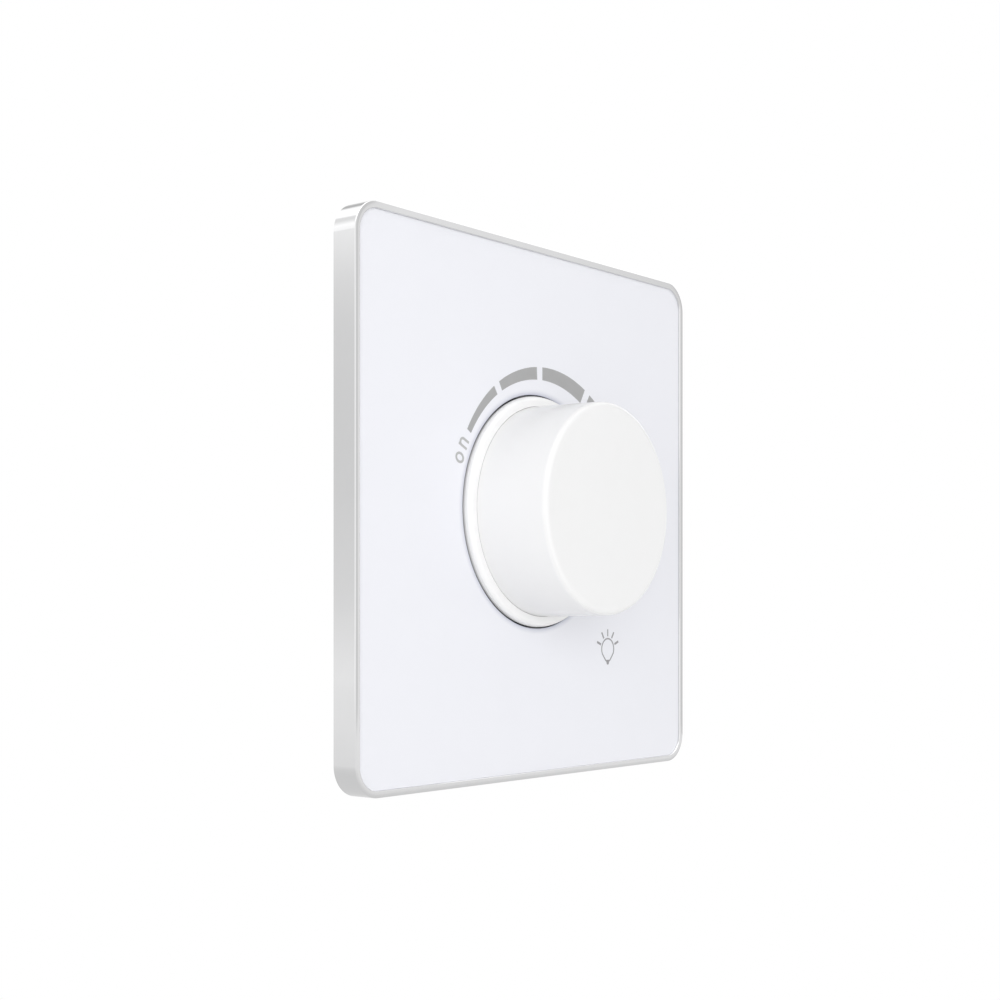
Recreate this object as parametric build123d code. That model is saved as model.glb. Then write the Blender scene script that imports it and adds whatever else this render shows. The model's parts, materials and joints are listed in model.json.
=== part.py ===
from build123d import *
import os
from math import asin, cos, degrees, radians, sin

# A rotary wall dimmer switch on a square plate, in millimetres.
# The origin is the centre of the two mounting slots, on the wall plane. X points right and Z up.
# The front faces -Y, so every depth in front of the wall is negative and every depth behind it positive.

# Plate frame, as the front shows it
plate_size = 86.0
frame_depth = 4.4
frame_wall = 1.04
frame_corner_radius = 4.0
frame_edge_round = 0.12
frame_bead_height = 0.35
frame_bead_width = 0.5
frame_bead_from_wall = 0.4
pry_notch_width = 9.0
pry_notch_depth = 0.9

# Panel with its round hole and the scale marks
panel_recess = 0.36
panel_thickness = 2.0
panel_gap = 0.05
panel_edge_break = 0.12
scale_shift = 1.27
scale_from_hole = 2.63
scale_start_width = 1.05
scale_end_width = 3.15
scale_half_angle = 58.0
scale_gap_angles = (-31.2, -2.0, 30.8)
scale_gap = 1.38
scale_depth = 0.1

# Tray behind the panel, with its snap hooks and reliefs
carrier_floor = 1.2
carrier_skirt_wall = 1.6
carrier_lift = 0.15
carrier_hole_radius = 9.0
carrier_rib_width = 1.2
carrier_rib_height = 0.5
carrier_rib_share = 0.9
carrier_rib_gap = 1.0
hook_width = 6.0
hook_thickness = 1.2
hook_barb = 0.7
hook_barb_length = 1.5
hook_x = 16.0
hook_from_housing = 4.5
hook_gap = 0.15
screw_relief_width = 13.0
screw_relief_height = 11.0
screw_relief_corner = 2.0

# Convex ring round the knob
ring_gap = 0.3
ring_width = 1.5
ring_rise = 1.2
ring_wall_rise = 0.3
ring_top_flat = 0.2
ring_tab_count = 4
ring_tab_angle = 16.0
ring_tab_wall = 0.8
ring_barb = 0.35
ring_barb_length = 0.5
ring_tab_gap = 0.15

# Knob
knob_base_radius = 16.95
knob_narrowing = 0.2
knob_height = 13.95
knob_rim_round = 0.8
knob_wall = 1.7
knob_top = 2.0
knob_ring_gap = 0.1
knob_skirt_gap = 0.6
knob_rib_count = 6
knob_rib_thickness = 1.0
knob_rib_drop = 6.5
hub_radius = 5.4
hub_gap = 0.5
shaft_fit = 0.05
spring_width = 4.0
spring_thickness = 0.4
spring_tab = 1.4
spring_tab_thickness = 0.3

# Pressed plate that the wall-box screws hold
mount_plate_side = 1.85
mount_plate_edge = 4.5
mount_plate_thickness = 1.2
mount_plate_corner = 3.0
mount_flange_depth = 4.7
mount_flange_length = 58.0
mount_bend_radius = 0.8
slot_spacing = 60.3
slot_length = 7.0
slot_width = 4.4
window_gap = 0.8

# Potentiometer
shaft_radius = 3.0
shaft_flat_depth = 1.5
shaft_end_gap = 0.2
shaft_tip_break = 0.4
shaft_square = 3.6
neck_radius = 3.5
neck_length = 5.8
neck_hole_gap = 0.1
neck_flange_radius = 5.0
neck_flange_thickness = 0.8
nut_across_flats = 10.0
nut_thickness = 2.0
washer_radius = 6.0
washer_thickness = 0.5
clip_radius = 4.6
clip_thickness = 0.6
clip_groove_depth = 0.6
clip_opening = 4.2
pot_radius = 8.3
pot_wall = 0.9
pot_face = 1.2
pot_depth = 6.4
rotor_thickness = 2.0
rotor_gap = 0.4
stop_lug_angle = 24.0
stop_tab_angle = 34.0
stop_side_gap = 1.0
stop_reach = 1.4
wiper_thickness = 0.2
wiper_inner_radius = 2.9
wiper_edge = 0.6
finger_width = 1.0
finger_turns = (170.0, 190.0)
track_board_thickness = 1.0
track_thickness = 0.1
track_width = 1.6
track_gap_angle = 60.0
track_pieces = 3
track_tail = 1.0
finger_gap = 0.1
switch_can_depth = 6.8
switch_can_round = 0.5
can_tab_width = 3.0
can_tab_thickness = 0.4
can_tab_length = 2.0
can_notch_margin = 0.5
can_notch_reach = 2.0
tag_width = 1.2
tag_leg_width = 0.8
tag_thickness = 0.5
tag_pitch = 5.0
tag_row_gap = 1.5
switch_tag_pitch = 6.0

# Housing in the wall box
housing_wall = 1.6
housing_back_gap = 0.4
housing_corner = 3.0
housing_inner_corner = 1.8
housing_back_chamfer = 1.0
housing_taper = 0.8
housing_rim = 1.5
housing_rim_thickness = 1.4
post_inset = 4.6
post_radius = 2.6
post_length = 11.0
post_web = 1.4
post_hole_extra = 1.0
screw_core_radius = 1.1
screw_hole_radius = 1.5
cone_land = 0.1
screw_head_radius = 2.4
screw_length = 9.0
screw_fit = 0.05
ledge_width = 2.2
ledge_root = 0.8
ledge_bottom_inset = 12.0
ledge_middle_z = 1.0
ledge_top_inset = 5.6
vent_count = 7
vent_width = 1.6
vent_length = 9.0
vent_pitch = 4.2
vent_from_rim = 2.0

# Circuit board and the parts on it
board_margin = 1.9
board_gap = 0.9
bay_margin = 1.1
row_gap = 1.8
board_thickness = 1.6
board_corner = 1.0
lead_width = 0.6
lead_fit = 0.1
lead_tail = 0.9
part_lift = 0.2
sink_width = 12.0
sink_height = 22.0
sink_thickness = 1.5
sink_corner = 1.0
sink_z = -2.0
triac_width = 10.0
triac_body_length = 9.2
triac_length = 15.4
triac_thickness = 4.4
triac_tab_thickness = 1.3
triac_tab_hole_radius = 1.9
triac_chamfer = 0.5
triac_hole_from_end = 2.8
triac_lead_pitch = 2.54
triac_lead_reach = 2.4
pad_thickness = 0.25
pad_margin = 0.6
triac_screw_radius = 1.5
triac_hole_radius = 1.7
triac_screw_head_radius = 2.8
triac_screw_end = 0.6
triac_nut_across_flats = 5.5
triac_nut_thickness = 2.4
choke_side_inset = 8.1
choke_top_inset = 11.9
core_outer_radius = 6.2
core_inner_radius = 3.2
core_height = 5.0
wire_thickness = 0.8
wire_fit = 0.05
winding_turns = 12
winding_gap_angle = 60.0
choke_lead_offset = 1.6
mains_cap_side_inset = 12.9
mains_cap_top_inset = 8.3
cap_chamfer = 0.4
mains_cap_size = (17.5, 8.5, 10.0)
mains_cap_pitch = 15.0
film_cap_size = (9.0, 4.6, 8.5)
film_cap_pitch = 6.5
film_cap_xs = (-8.0, 5.5)
film_cap_row_gap = 2.9
resistor_xs = (-6.3, -3.1, 0.1)
resistor_radius = 1.2
resistor_length = 6.4
resistor_end_length = 1.5
resistor_step = 0.25
resistor_pitch = 10.0
diac_side_inset = 7.3
diac_bottom_inset = 5.5
diac_radius = 0.95
diac_length = 3.8
diac_chamfer = 0.3
diac_pitch = 6.2
fuse_side_inset = 6.4
fuse_z = -7.6
fuse_radius = 2.5
fuse_length = 20.0
fuse_cap_length = 5.0
fuse_cap_wall = 0.3
fuse_glass_wall = 0.6
fuse_clip_thickness = 0.5
fuse_clip_width = 4.0
fuse_clip_mouth_share = 1.3
fuse_clip_lift = 3.4

# Terminals
pole_count = 3
pole_pitch = 8.5
block_height = 10.9
block_depth = 9.6
block_foot = 1.2
block_foot_width = 1.4
block_foot_inset = 1.0
block_foot_share = 0.7
block_chamfer = 0.5
block_wall_gap = 0.6
block_side_wall = 1.2
cage_width = 5.4
cage_height = 6.0
cage_depth = 6.6
cage_wall = 0.8
wire_entry = 3.8
terminal_screw_radius = 1.5
terminal_head_radius = 2.0
terminal_head_length = 1.6
terminal_screw_length = 4.6
driver_hole_radius = 2.4
driver_slot_width = 0.6
driver_slot_depth = 0.7
terminal_gap = 0.1

# Depths worked out from the sizes above
frame_front = -frame_depth
panel_front = frame_front + panel_recess
panel_back = panel_front + panel_thickness
carrier_back = panel_back + carrier_floor
mount_plate_back = mount_plate_thickness
ring_top = panel_front - ring_rise
knob_face = frame_front - knob_height
knob_skirt_end = panel_back - knob_skirt_gap
knob_inside = knob_face + knob_top
pot_front = mount_plate_back
pot_back = pot_front + pot_depth
pot_inside = pot_front + pot_face
flange_back = pot_inside + neck_flange_thickness
rotor_front = flange_back + rotor_gap
rotor_back = rotor_front + rotor_thickness
wiper_back = rotor_back + wiper_thickness
track_front = pot_back - track_board_thickness
neck_front = mount_plate_back - neck_length
clip_back = neck_front - finger_gap
clip_front = clip_back - clip_thickness
hub_end = clip_front - hub_gap
shaft_tip = knob_inside + shaft_end_gap
board_front = pot_back + switch_can_depth
board_back = board_front + board_thickness
choke_front = board_back + part_lift + wire_thickness
fuse_y = board_front - fuse_clip_lift
housing_front = mount_plate_back
housing_inside = board_back + block_foot + block_depth + housing_back_gap
housing_back = housing_inside + housing_wall

# Places in the width and height worked out from the sizes above
pot_inner_radius = pot_radius - pot_wall
stop_inner_radius = pot_inner_radius - stop_reach
tab_outer_radius = pot_inner_radius - rotor_gap
rotor_radius = stop_inner_radius - rotor_gap
track_middle_radius = rotor_radius
wiper_outer_radius = rotor_radius - wiper_edge
tag_row_offset = pot_radius + tag_row_gap
tag_notch_width = 2 * tag_pitch + 2 * tag_width
resistor_z = tag_row_offset + row_gap + resistor_pitch / 2
film_cap_z = -(tag_row_offset + film_cap_row_gap + film_cap_size[1] / 2)
sink_x = pot_radius + bay_margin + sink_width / 2
board_right = sink_x + sink_width / 2 + bay_margin
board_top = resistor_z + resistor_pitch / 2 + board_margin
board_width = 2 * board_right
board_height = 2 * board_top
housing_width = board_width + 2 * board_gap + 2 * housing_wall
housing_height = board_height + 2 * board_gap + 2 * housing_wall
post_x = housing_width / 2 - post_inset
post_z = housing_height / 2 - post_inset
hook_z = housing_height / 2 + hook_from_housing
mount_plate_height = 2 * (hook_z + mount_plate_edge)
mount_plate_width = slot_spacing + slot_length + 2 * mount_plate_side
ledge_zs = (ledge_bottom_inset - board_top, ledge_middle_z, board_top - ledge_top_inset)
choke_x = choke_side_inset - board_right
choke_z = board_top - choke_top_inset
choke_lead_radius = core_outer_radius + wire_fit + wire_thickness + lead_width / 2
mains_cap_x = board_right - mains_cap_side_inset
mains_cap_z = board_top - mains_cap_top_inset
diac_x = board_right - diac_side_inset
diac_z = diac_bottom_inset - board_top
fuse_x = fuse_side_inset - board_right

# Radii and widths worked out from the sizes above
panel_size = plate_size - 2 * frame_wall - 2 * panel_gap
panel_corner = frame_corner_radius - frame_wall - panel_gap
knob_front_radius = knob_base_radius - knob_narrowing
ring_bore_radius = knob_base_radius + knob_ring_gap
ring_outer_radius = ring_bore_radius + ring_width
ring_tab_radius = ring_outer_radius - (ring_width - ring_tab_wall) / 2
panel_hole_radius = ring_outer_radius + ring_gap
scale_inner_radius = panel_hole_radius + scale_from_hole
knob_travel = 360 - stop_lug_angle - stop_tab_angle - 2 * stop_side_gap
shaft_flat_z = shaft_flat_depth - shaft_radius
spring_back_z = shaft_flat_z - shaft_fit - spring_thickness
hub_flat_z = spring_back_z - shaft_fit
triac_top_z = sink_z + sink_height / 2 - pad_margin
triac_hole_z = triac_top_z - triac_hole_from_end
triac_front = mount_plate_back + sink_thickness + pad_thickness
triac_leads_z = triac_top_z - triac_length - triac_lead_reach
terminal_xs = [(i - (pole_count - 1) / 2) * pole_pitch for i in range(pole_count)]
block_bottom = -(housing_height / 2 - housing_wall) + block_wall_gap
block_middle_z = block_bottom + block_height / 2
cage_front = board_back + block_foot + block_side_wall
wire_y = cage_front + cage_wall + wire_entry / 2
tail_end = board_back + lead_tail


def slab(outline, front, back):
    """Gives an outline drawn as seen from the front its depth, from front to back."""
    return extrude(Plane.XZ.offset(-back) * outline, amount=back - front)


def turned(points):
    """Turns a closed outline of (radius, depth) points about the knob's axis."""
    return revolve(make_face(Polyline(*points, close=True)), axis=Axis.Y)


def clock(angle):
    """Turns clockwise about the knob's axis, as seen from the front."""
    return Rot(0, angle, 0)


def sector(inner, outer, angle):
    """Part of a ring, centred on twelve o'clock, as seen from the front."""
    half = angle / 2
    far = 2 * outer
    reach = Vector(far * sin(radians(half)), far * cos(radians(half)))
    wedge = make_face(Polyline((0, 0), (-reach.X, reach.Y), (reach.X, reach.Y), close=True))
    return (Circle(outer) - Circle(inner)) & wedge


def lead(x, z, front, back):
    """One square lead, straight through the circuit board."""
    return slab(Pos(x, z) * Rectangle(lead_width, lead_width), front, back)


def frame_bezel():
    inner = RectangleRounded(panel_size + 2 * panel_gap, panel_size + 2 * panel_gap, panel_corner + panel_gap)
    outer = RectangleRounded(plate_size, plate_size, frame_corner_radius)
    body = slab(outer, frame_front, 0)
    body = fillet(body.faces().sort_by(Axis.Y)[0].edges(), frame_edge_round)
    body -= slab(inner, frame_front, 0)
    bead_opening = panel_size + 2 * panel_gap - 2 * frame_bead_height
    bead_corner = panel_corner + panel_gap - frame_bead_height
    bead_back = -frame_bead_from_wall
    bead = inner - RectangleRounded(bead_opening, bead_opening, bead_corner)
    body += slab(bead, bead_back - frame_bead_width, bead_back)
    notch = Pos(0, -plate_size / 2) * Rectangle(pry_notch_width, 3 * frame_wall)
    return body - slab(notch, -pry_notch_depth, 0)


def scale_segment(start, end):
    """One printed field of the scale. Its outer edge runs outward as the scale grows clockwise."""

    def outer_radius(angle):
        share = (angle + scale_half_angle) / (2 * scale_half_angle)
        return scale_inner_radius + scale_start_width + share * (scale_end_width - scale_start_width)

    def place(radius, angle):
        return (radius * sin(radians(angle)), radius * cos(radians(angle)))

    middle = (start + end) / 2
    inner_arc = ThreePointArc(*(place(scale_inner_radius, a) for a in (start, middle, end)))
    outer_arc = ThreePointArc(*(place(outer_radius(a), a) for a in (start, middle, end)))
    start_side = Line(place(scale_inner_radius, start), place(outer_radius(start), start))
    end_side = Line(place(scale_inner_radius, end), place(outer_radius(end), end))
    return make_face([inner_arc, end_side, outer_arc, start_side])


def scale_marks():
    """The printed fields, parted by even gaps, on a circle a little to the right of the knob's axis."""
    half_gap = degrees(asin(scale_gap / scale_inner_radius)) / 2
    starts = [-scale_half_angle] + [angle + half_gap for angle in scale_gap_angles]
    ends = [angle - half_gap for angle in scale_gap_angles] + [scale_half_angle]
    segments = Sketch()
    for start, end in zip(starts, ends):
        segments += scale_segment(start, end)
    return Pos(scale_shift, 0) * segments


def glass_panel():
    body = slab(RectangleRounded(panel_size, panel_size, panel_corner), panel_front, panel_back)
    body -= slab(Circle(panel_hole_radius), panel_front, panel_back)
    body = chamfer(body.faces().sort_by(Axis.Y)[0].edges(), panel_edge_break)
    return body - slab(scale_marks(), panel_front, panel_front + scale_depth)


def ring_tab_outline(extra):
    """Where the ring's snap tabs pass the tray, widened all round by extra."""
    outer = ring_tab_radius + extra
    inner = outer - ring_tab_wall - 2 * extra
    angle = ring_tab_angle + 2 * degrees(extra / inner)
    return sector(inner, outer, angle)


def ring_turns():
    return [45 + i * 360 / ring_tab_count for i in range(ring_tab_count)]


def collar_ring():
    top_radius = ring_bore_radius + ring_top_flat
    crown_foot = panel_front - ring_wall_rise
    edge = Polyline(
        (top_radius, ring_top),
        (ring_bore_radius, ring_top),
        (ring_bore_radius, panel_back),
        (ring_outer_radius, panel_back),
        (ring_outer_radius, crown_foot),
    )
    crown_reach = ring_outer_radius - top_radius
    crown_height = ring_rise - ring_wall_rise
    crown = EllipticalCenterArc(
        (top_radius, crown_foot), crown_reach, crown_height, start_angle=-90, arc_size=90
    )
    body = revolve(make_face([edge, crown]), axis=Axis.Y)
    barb_front = carrier_back + ring_tab_gap
    barb_back = barb_front + ring_barb_length
    tab = slab(ring_tab_outline(0), panel_back, barb_back)
    barb_outline = sector(ring_tab_radius - ring_tab_wall, ring_tab_radius + ring_barb, ring_tab_angle)
    barb = slab(barb_outline, barb_front, barb_back)
    for turn in ring_turns():
        body += clock(turn) * (tab + barb)
    return body


def hook(side_x, side_z):
    """One snap hook of the tray, which grips the mounting plate's back edge."""
    barb_front = mount_plate_back + hook_gap
    tip = barb_front + hook_barb_length
    arm = Pos(side_x * hook_x, side_z * hook_z) * Rectangle(hook_width, hook_thickness)
    arm = slab(arm, carrier_back, tip)
    inner_z = hook_z + hook_thickness / 2
    outline = Polyline((barb_front, inner_z), (barb_front, inner_z + hook_barb), (tip, inner_z), close=True)
    barb = extrude(Plane.YZ.offset(-hook_width / 2) * make_face(outline), amount=hook_width)
    barb = Pos(side_x * hook_x, 0, 0) * barb
    return arm + (barb if side_z > 0 else mirror(barb, about=Plane.XY))


def hook_sides():
    return [(x, z) for x in (-1, 1) for z in (-1, 1)]


def panel_carrier():
    plate = RectangleRounded(panel_size, panel_size, panel_corner)
    hollow = panel_size - 2 * carrier_skirt_wall
    hollow_corner = panel_corner - carrier_skirt_wall / 2
    body = slab(plate, panel_back, -carrier_lift)
    body -= slab(RectangleRounded(hollow, hollow, hollow_corner), carrier_back, -carrier_lift)
    groove_size = panel_size - 2 * frame_bead_height
    groove_corner = panel_corner - frame_bead_height
    groove = plate - RectangleRounded(groove_size, groove_size, groove_corner)
    bead_back = -frame_bead_from_wall
    body -= slab(groove, bead_back - frame_bead_width - panel_gap, bead_back + panel_gap)
    body -= slab(Circle(carrier_hole_radius), panel_back, carrier_back)
    rib_ring = Circle(carrier_hole_radius + carrier_rib_width) - Circle(carrier_hole_radius)
    body += slab(rib_ring, carrier_back, carrier_back + carrier_rib_height)
    for side in (-1, 1):
        relief_place = Pos(side * slot_spacing / 2, 0)
        relief = RectangleRounded(screw_relief_width, screw_relief_height, screw_relief_corner)
        body -= slab(relief_place * relief, panel_back, carrier_back)
        rib_x = side * (hollow / 4 + hook_x / 2)
        rib = Pos(rib_x, 0) * Rectangle(carrier_rib_width, carrier_rib_share * hollow)
        clear_width = screw_relief_width + 2 * carrier_rib_gap
        clear_height = screw_relief_height + 2 * carrier_rib_gap
        rib -= relief_place * Rectangle(clear_width, clear_height)
        body += slab(rib, carrier_back, carrier_back + carrier_rib_height)
    for turn in ring_turns():
        body -= clock(turn) * slab(ring_tab_outline(ring_tab_gap), panel_back, carrier_back)
    for side_x, side_z in hook_sides():
        body += hook(side_x, side_z)
    notch = Pos(0, -panel_size / 2) * Rectangle(pry_notch_width, 2 * carrier_skirt_wall)
    return body - slab(notch, -pry_notch_depth, -carrier_lift)


def knob():
    outside = turned(
        [
            (0, knob_face),
            (knob_front_radius, knob_face),
            (knob_base_radius, knob_skirt_end),
            (0, knob_skirt_end),
        ]
    )
    rim = outside.edges().filter_by(GeomType.CIRCLE).sort_by(Axis.Y)[0]
    body = fillet(rim, knob_rim_round)
    body -= turned(
        [
            (0, knob_inside),
            (knob_front_radius - knob_wall, knob_inside),
            (knob_base_radius - knob_wall, knob_skirt_end),
            (0, knob_skirt_end),
        ]
    )
    body += slab(Circle(hub_radius), knob_inside, hub_end)
    inside_reach = knob_front_radius - knob_wall
    rib_length = inside_reach - hub_radius + knob_wall / 2
    rib_middle = hub_radius + rib_length / 2 - knob_wall / 4
    rib = Pos(0, rib_middle) * Rectangle(knob_rib_thickness, rib_length)
    rib = slab(rib, knob_inside, knob_inside + knob_rib_drop)
    for i in range(knob_rib_count):
        body += clock((i + 0.5) * 360 / knob_rib_count) * rib
    bore = Circle(shaft_radius + shaft_fit)
    below_flat = Pos(0, hub_flat_z - shaft_radius) * Rectangle(4 * shaft_radius, 2 * shaft_radius)
    return body - slab(bore - below_flat, shaft_tip - shaft_end_gap, hub_end)


def knob_spring():
    """Leaf between the shaft's flat and the hub, with a tab that turns over the hub's end."""
    leaf_middle = spring_back_z + spring_thickness / 2
    leaf_front = shaft_tip + shaft_tip_break
    leaf = slab(Pos(0, leaf_middle) * Rectangle(spring_width, spring_thickness), leaf_front, hub_end)
    tab_height = spring_tab + spring_thickness
    tab_middle = spring_back_z + spring_thickness - tab_height / 2
    tab = Pos(0, tab_middle) * Rectangle(spring_width, tab_height)
    return leaf + slab(tab, hub_end, hub_end + spring_tab_thickness)


def pot_shaft():
    tip = shaft_radius - shaft_tip_break
    body = turned(
        [
            (0, shaft_tip),
            (tip, shaft_tip),
            (shaft_radius, shaft_tip + shaft_tip_break),
            (shaft_radius, clip_front),
            (shaft_radius - clip_groove_depth, clip_front),
            (shaft_radius - clip_groove_depth, clip_back),
            (shaft_radius, clip_back),
            (shaft_radius, rotor_front),
            (0, rotor_front),
        ]
    )
    below_flat = Pos(0, shaft_flat_z - shaft_radius) * Rectangle(4 * shaft_radius, 2 * shaft_radius)
    body -= slab(below_flat, shaft_tip, hub_end + spring_thickness)
    return body + slab(Rectangle(shaft_square, shaft_square), rotor_front, rotor_back)


def pot_circlip():
    ring = Circle(clip_radius) - Circle(shaft_radius - clip_groove_depth + shaft_fit)
    mouth = Pos(0, -clip_radius) * Rectangle(clip_opening, 2 * clip_radius)
    return slab(ring - mouth, clip_front, clip_back)


def pot_bushing():
    body = turned(
        [
            (shaft_radius + shaft_fit, neck_front),
            (neck_radius, neck_front),
            (neck_radius, pot_inside),
            (neck_flange_radius, pot_inside),
            (neck_flange_radius, flange_back),
            (shaft_radius + shaft_fit, flange_back),
        ]
    )
    return body


def pot_nut():
    outline = RegularPolygon(nut_across_flats / 2, 6, major_radius=False)
    outline -= Circle(neck_radius + neck_hole_gap / 2)
    return slab(outline, -washer_thickness - nut_thickness, -washer_thickness)


def pot_washer():
    return slab(Circle(washer_radius) - Circle(neck_radius + neck_hole_gap), -washer_thickness, 0)


def pot_body():
    """Cup with the stop lug at twelve o'clock and a notch for the solder tags."""
    body = slab(Circle(pot_radius), pot_front, pot_back)
    body -= slab(Circle(pot_inner_radius), pot_inside, pot_back)
    body -= slab(Circle(neck_radius + neck_hole_gap / 2), pot_front, pot_inside)
    body += slab(sector(stop_inner_radius, pot_radius, stop_lug_angle), pot_inside, rotor_back)
    notch = Pos(0, -pot_radius) * Rectangle(tag_notch_width, pot_radius)
    return body - slab(notch, track_front, pot_back)


def pot_rotor():
    """Disc with the tab that stands just clockwise of the stop lug when the knob is off."""
    body = slab(Circle(rotor_radius), rotor_front, rotor_back)
    turn = stop_lug_angle / 2 + stop_side_gap + stop_tab_angle / 2
    tab = sector(rotor_radius - stop_reach, tab_outer_radius, stop_tab_angle)
    body += clock(turn) * slab(tab, rotor_front, rotor_back)
    return body - slab(Rectangle(shaft_square + shaft_fit, shaft_square + shaft_fit), rotor_front, rotor_back)


def pot_wiper():
    """Thin contact spring with two fingers bent back towards the track."""
    ring = slab(Circle(wiper_outer_radius) - Circle(wiper_inner_radius), rotor_back, wiper_back)
    tip = track_front - track_thickness - finger_gap
    root = wiper_outer_radius - finger_width
    outline = Polyline(
        (rotor_back, root),
        (wiper_back, root),
        (tip, track_middle_radius),
        (tip - wiper_thickness, track_middle_radius),
        close=True,
    )
    finger = extrude(Plane.YZ.offset(-finger_width / 2) * make_face(outline), amount=finger_width)
    for turn in finger_turns:
        ring += clock(turn) * finger
    return ring


def pot_track_board():
    disc = Circle(pot_inner_radius - shaft_fit)
    tail_width = 2 * tag_pitch + tag_width
    tail = Pos(0, -pot_radius) * Rectangle(tail_width, pot_radius - shaft_fit)
    tail &= Circle(pot_radius + track_tail)
    body = slab(disc + tail, track_front, pot_back)
    inner = track_middle_radius - track_width / 2
    piece_angle = (360 - track_gap_angle) / track_pieces
    piece = slab(sector(inner, inner + track_width, piece_angle), track_front - track_thickness, track_front)
    for i in range(track_pieces):
        body += clock((i - (track_pieces - 1) / 2) * piece_angle) * piece
    return body


def solder_tag(x, side):
    """One tag, from the board's rim outward and then back through the circuit board."""
    start = pot_radius + track_tail - 2 * tag_thickness
    strip = Pos(x, side * (start + tag_row_offset + tag_thickness / 2) / 2)
    foot = Rectangle(tag_width, tag_row_offset + tag_thickness / 2 - start)
    flat = slab(strip * foot, pot_back, pot_back + tag_thickness)
    leg = slab(Pos(x, side * tag_row_offset) * Rectangle(tag_leg_width, tag_thickness), pot_back, tail_end)
    return flat + leg


def pot_terminals():
    return Compound(children=[solder_tag(i * tag_pitch, -1) for i in (-1, 0, 1)])


def pot_switch_can():
    can = slab(Circle(pot_radius), pot_back, board_front)
    can = fillet(can.faces().sort_by(Axis.Y)[-1].edges(), switch_can_round)
    notch = Rectangle(tag_notch_width + 2 * can_notch_margin, 2 * can_notch_reach)
    can -= slab(Pos(0, -pot_radius) * notch, pot_back, pot_back + tag_thickness + lead_fit)
    tab = Pos(0, pot_radius) * Rectangle(can_tab_width, 2 * can_tab_thickness)
    tab = slab(tab, pot_front + can_tab_length, pot_back + can_tab_length)
    for turn in (90, 270):
        can += clock(turn) * tab
    return can - slab(Circle(pot_radius), pot_front, pot_back)


def pot_switch_terminals():
    """Two tags that leave the can's wall and turn back through the circuit board."""
    tags = []
    start = pot_radius * cos(asin(switch_tag_pitch / 2 / pot_radius))
    flat_front = pot_back + switch_can_depth / 2
    for side in (-1, 1):
        x = side * switch_tag_pitch / 2
        reach = tag_row_offset + tag_thickness / 2 - start
        foot = Pos(x, start + reach / 2) * Rectangle(tag_width, reach)
        flat = slab(foot, flat_front, flat_front + tag_thickness)
        flat -= slab(Circle(pot_radius), flat_front, flat_front + tag_thickness)
        leg = Pos(x, tag_row_offset) * Rectangle(tag_leg_width, tag_thickness)
        tags.append(flat + slab(leg, flat_front, tail_end))
    return Compound(children=tags)


def post_places():
    return [(x * post_x, z * post_z) for x in (-1, 1) for z in (-1, 1)]


def mounting_plate():
    """Pressed plate with folded top and bottom edges, the two wall-box slots and the hook windows."""
    half = mount_plate_height / 2
    channel = Polyline(
        (0, -half), (0, half), (mount_flange_depth, half), (mount_flange_depth, -half), close=True
    )
    inner_half = half - mount_plate_thickness
    hollow = Polyline(
        (mount_plate_back, -inner_half),
        (mount_plate_back, inner_half),
        (mount_flange_depth, inner_half),
        (mount_flange_depth, -inner_half),
        close=True,
    )
    body = extrude(Plane.YZ.offset(-mount_plate_width / 2) * make_face(channel), amount=mount_plate_width)
    bends = body.faces().sort_by(Axis.Y)[0].edges().filter_by(Axis.X)
    body = fillet(bends, mount_bend_radius + mount_plate_thickness)
    cut = extrude(Plane.YZ.offset(-mount_plate_width / 2) * make_face(hollow), amount=mount_plate_width)
    cut = fillet(cut.faces().sort_by(Axis.Y)[0].edges().filter_by(Axis.X), mount_bend_radius)
    body -= cut
    for side in (-1, 1):
        end_width = (mount_plate_width - mount_flange_length) / 2
        end_x = side * (mount_plate_width - end_width) / 2
        end_height = 2 * (mount_bend_radius + mount_plate_thickness)
        for edge in (-1, 1):
            corner = Pos(end_x, edge * half) * Rectangle(end_width, end_height)
            body -= slab(corner, 0, mount_flange_depth)
    rounded = body.edges().filter_by(Axis.Y).group_by(lambda e: abs(e.center().X))[-1]
    body = fillet(rounded, mount_plate_corner / 2)
    for side in (-1, 1):
        slot = Pos(side * slot_spacing / 2, 0) * SlotOverall(slot_length, slot_width)
        body -= slab(slot, 0, mount_plate_back)
    for side_x, side_z in hook_sides():
        height = hook_thickness + hook_barb + window_gap
        middle = hook_z + hook_barb / 2
        window = Pos(side_x * hook_x, side_z * middle) * Rectangle(hook_width + window_gap, height)
        body -= slab(window, 0, mount_plate_back)
    body -= slab(Circle(neck_radius + neck_hole_gap), 0, mount_plate_back)
    for x, z in post_places():
        body -= countersink(x, z, screw_hole_radius, screw_head_radius)
    return body - countersink(sink_x, triac_hole_z, triac_hole_radius, triac_screw_head_radius)


def countersink(x, z, radius, head_radius):
    """The room a countersunk screw takes in the mounting plate."""
    cone_depth = head_radius - radius + cone_land
    cone = turned([(0, 0), (head_radius + screw_fit, 0), (radius, cone_depth), (0, cone_depth)])
    return Pos(x, 0, z) * (cone + slab(Circle(radius), 0, mount_plate_back))


def countersunk_screw(x, z, radius, hole_radius, head_radius, length):
    """Flat-headed screw, its head flush with the plate."""
    cone_depth = head_radius - hole_radius + cone_land
    cone_end = hole_radius - screw_fit
    body = turned(
        [
            (0, 0),
            (head_radius, 0),
            (cone_end, cone_depth),
            (radius, cone_depth),
            (radius, length),
            (0, length),
        ]
    )
    return Pos(x, 0, z) * body


def housing_screws():
    return Compound(
        children=[
            countersunk_screw(x, z, screw_core_radius, screw_hole_radius, screw_head_radius, screw_length)
            for x, z in post_places()
        ]
    )


def housing_box(shrink, front, back, corner):
    """A box that narrows towards the back, smaller all round by shrink."""
    outline = RectangleRounded(housing_width - 2 * shrink, housing_height - 2 * shrink, corner)
    return extrude(Plane.XZ.offset(-front) * outline, amount=-(back - front), taper=housing_taper)


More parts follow.
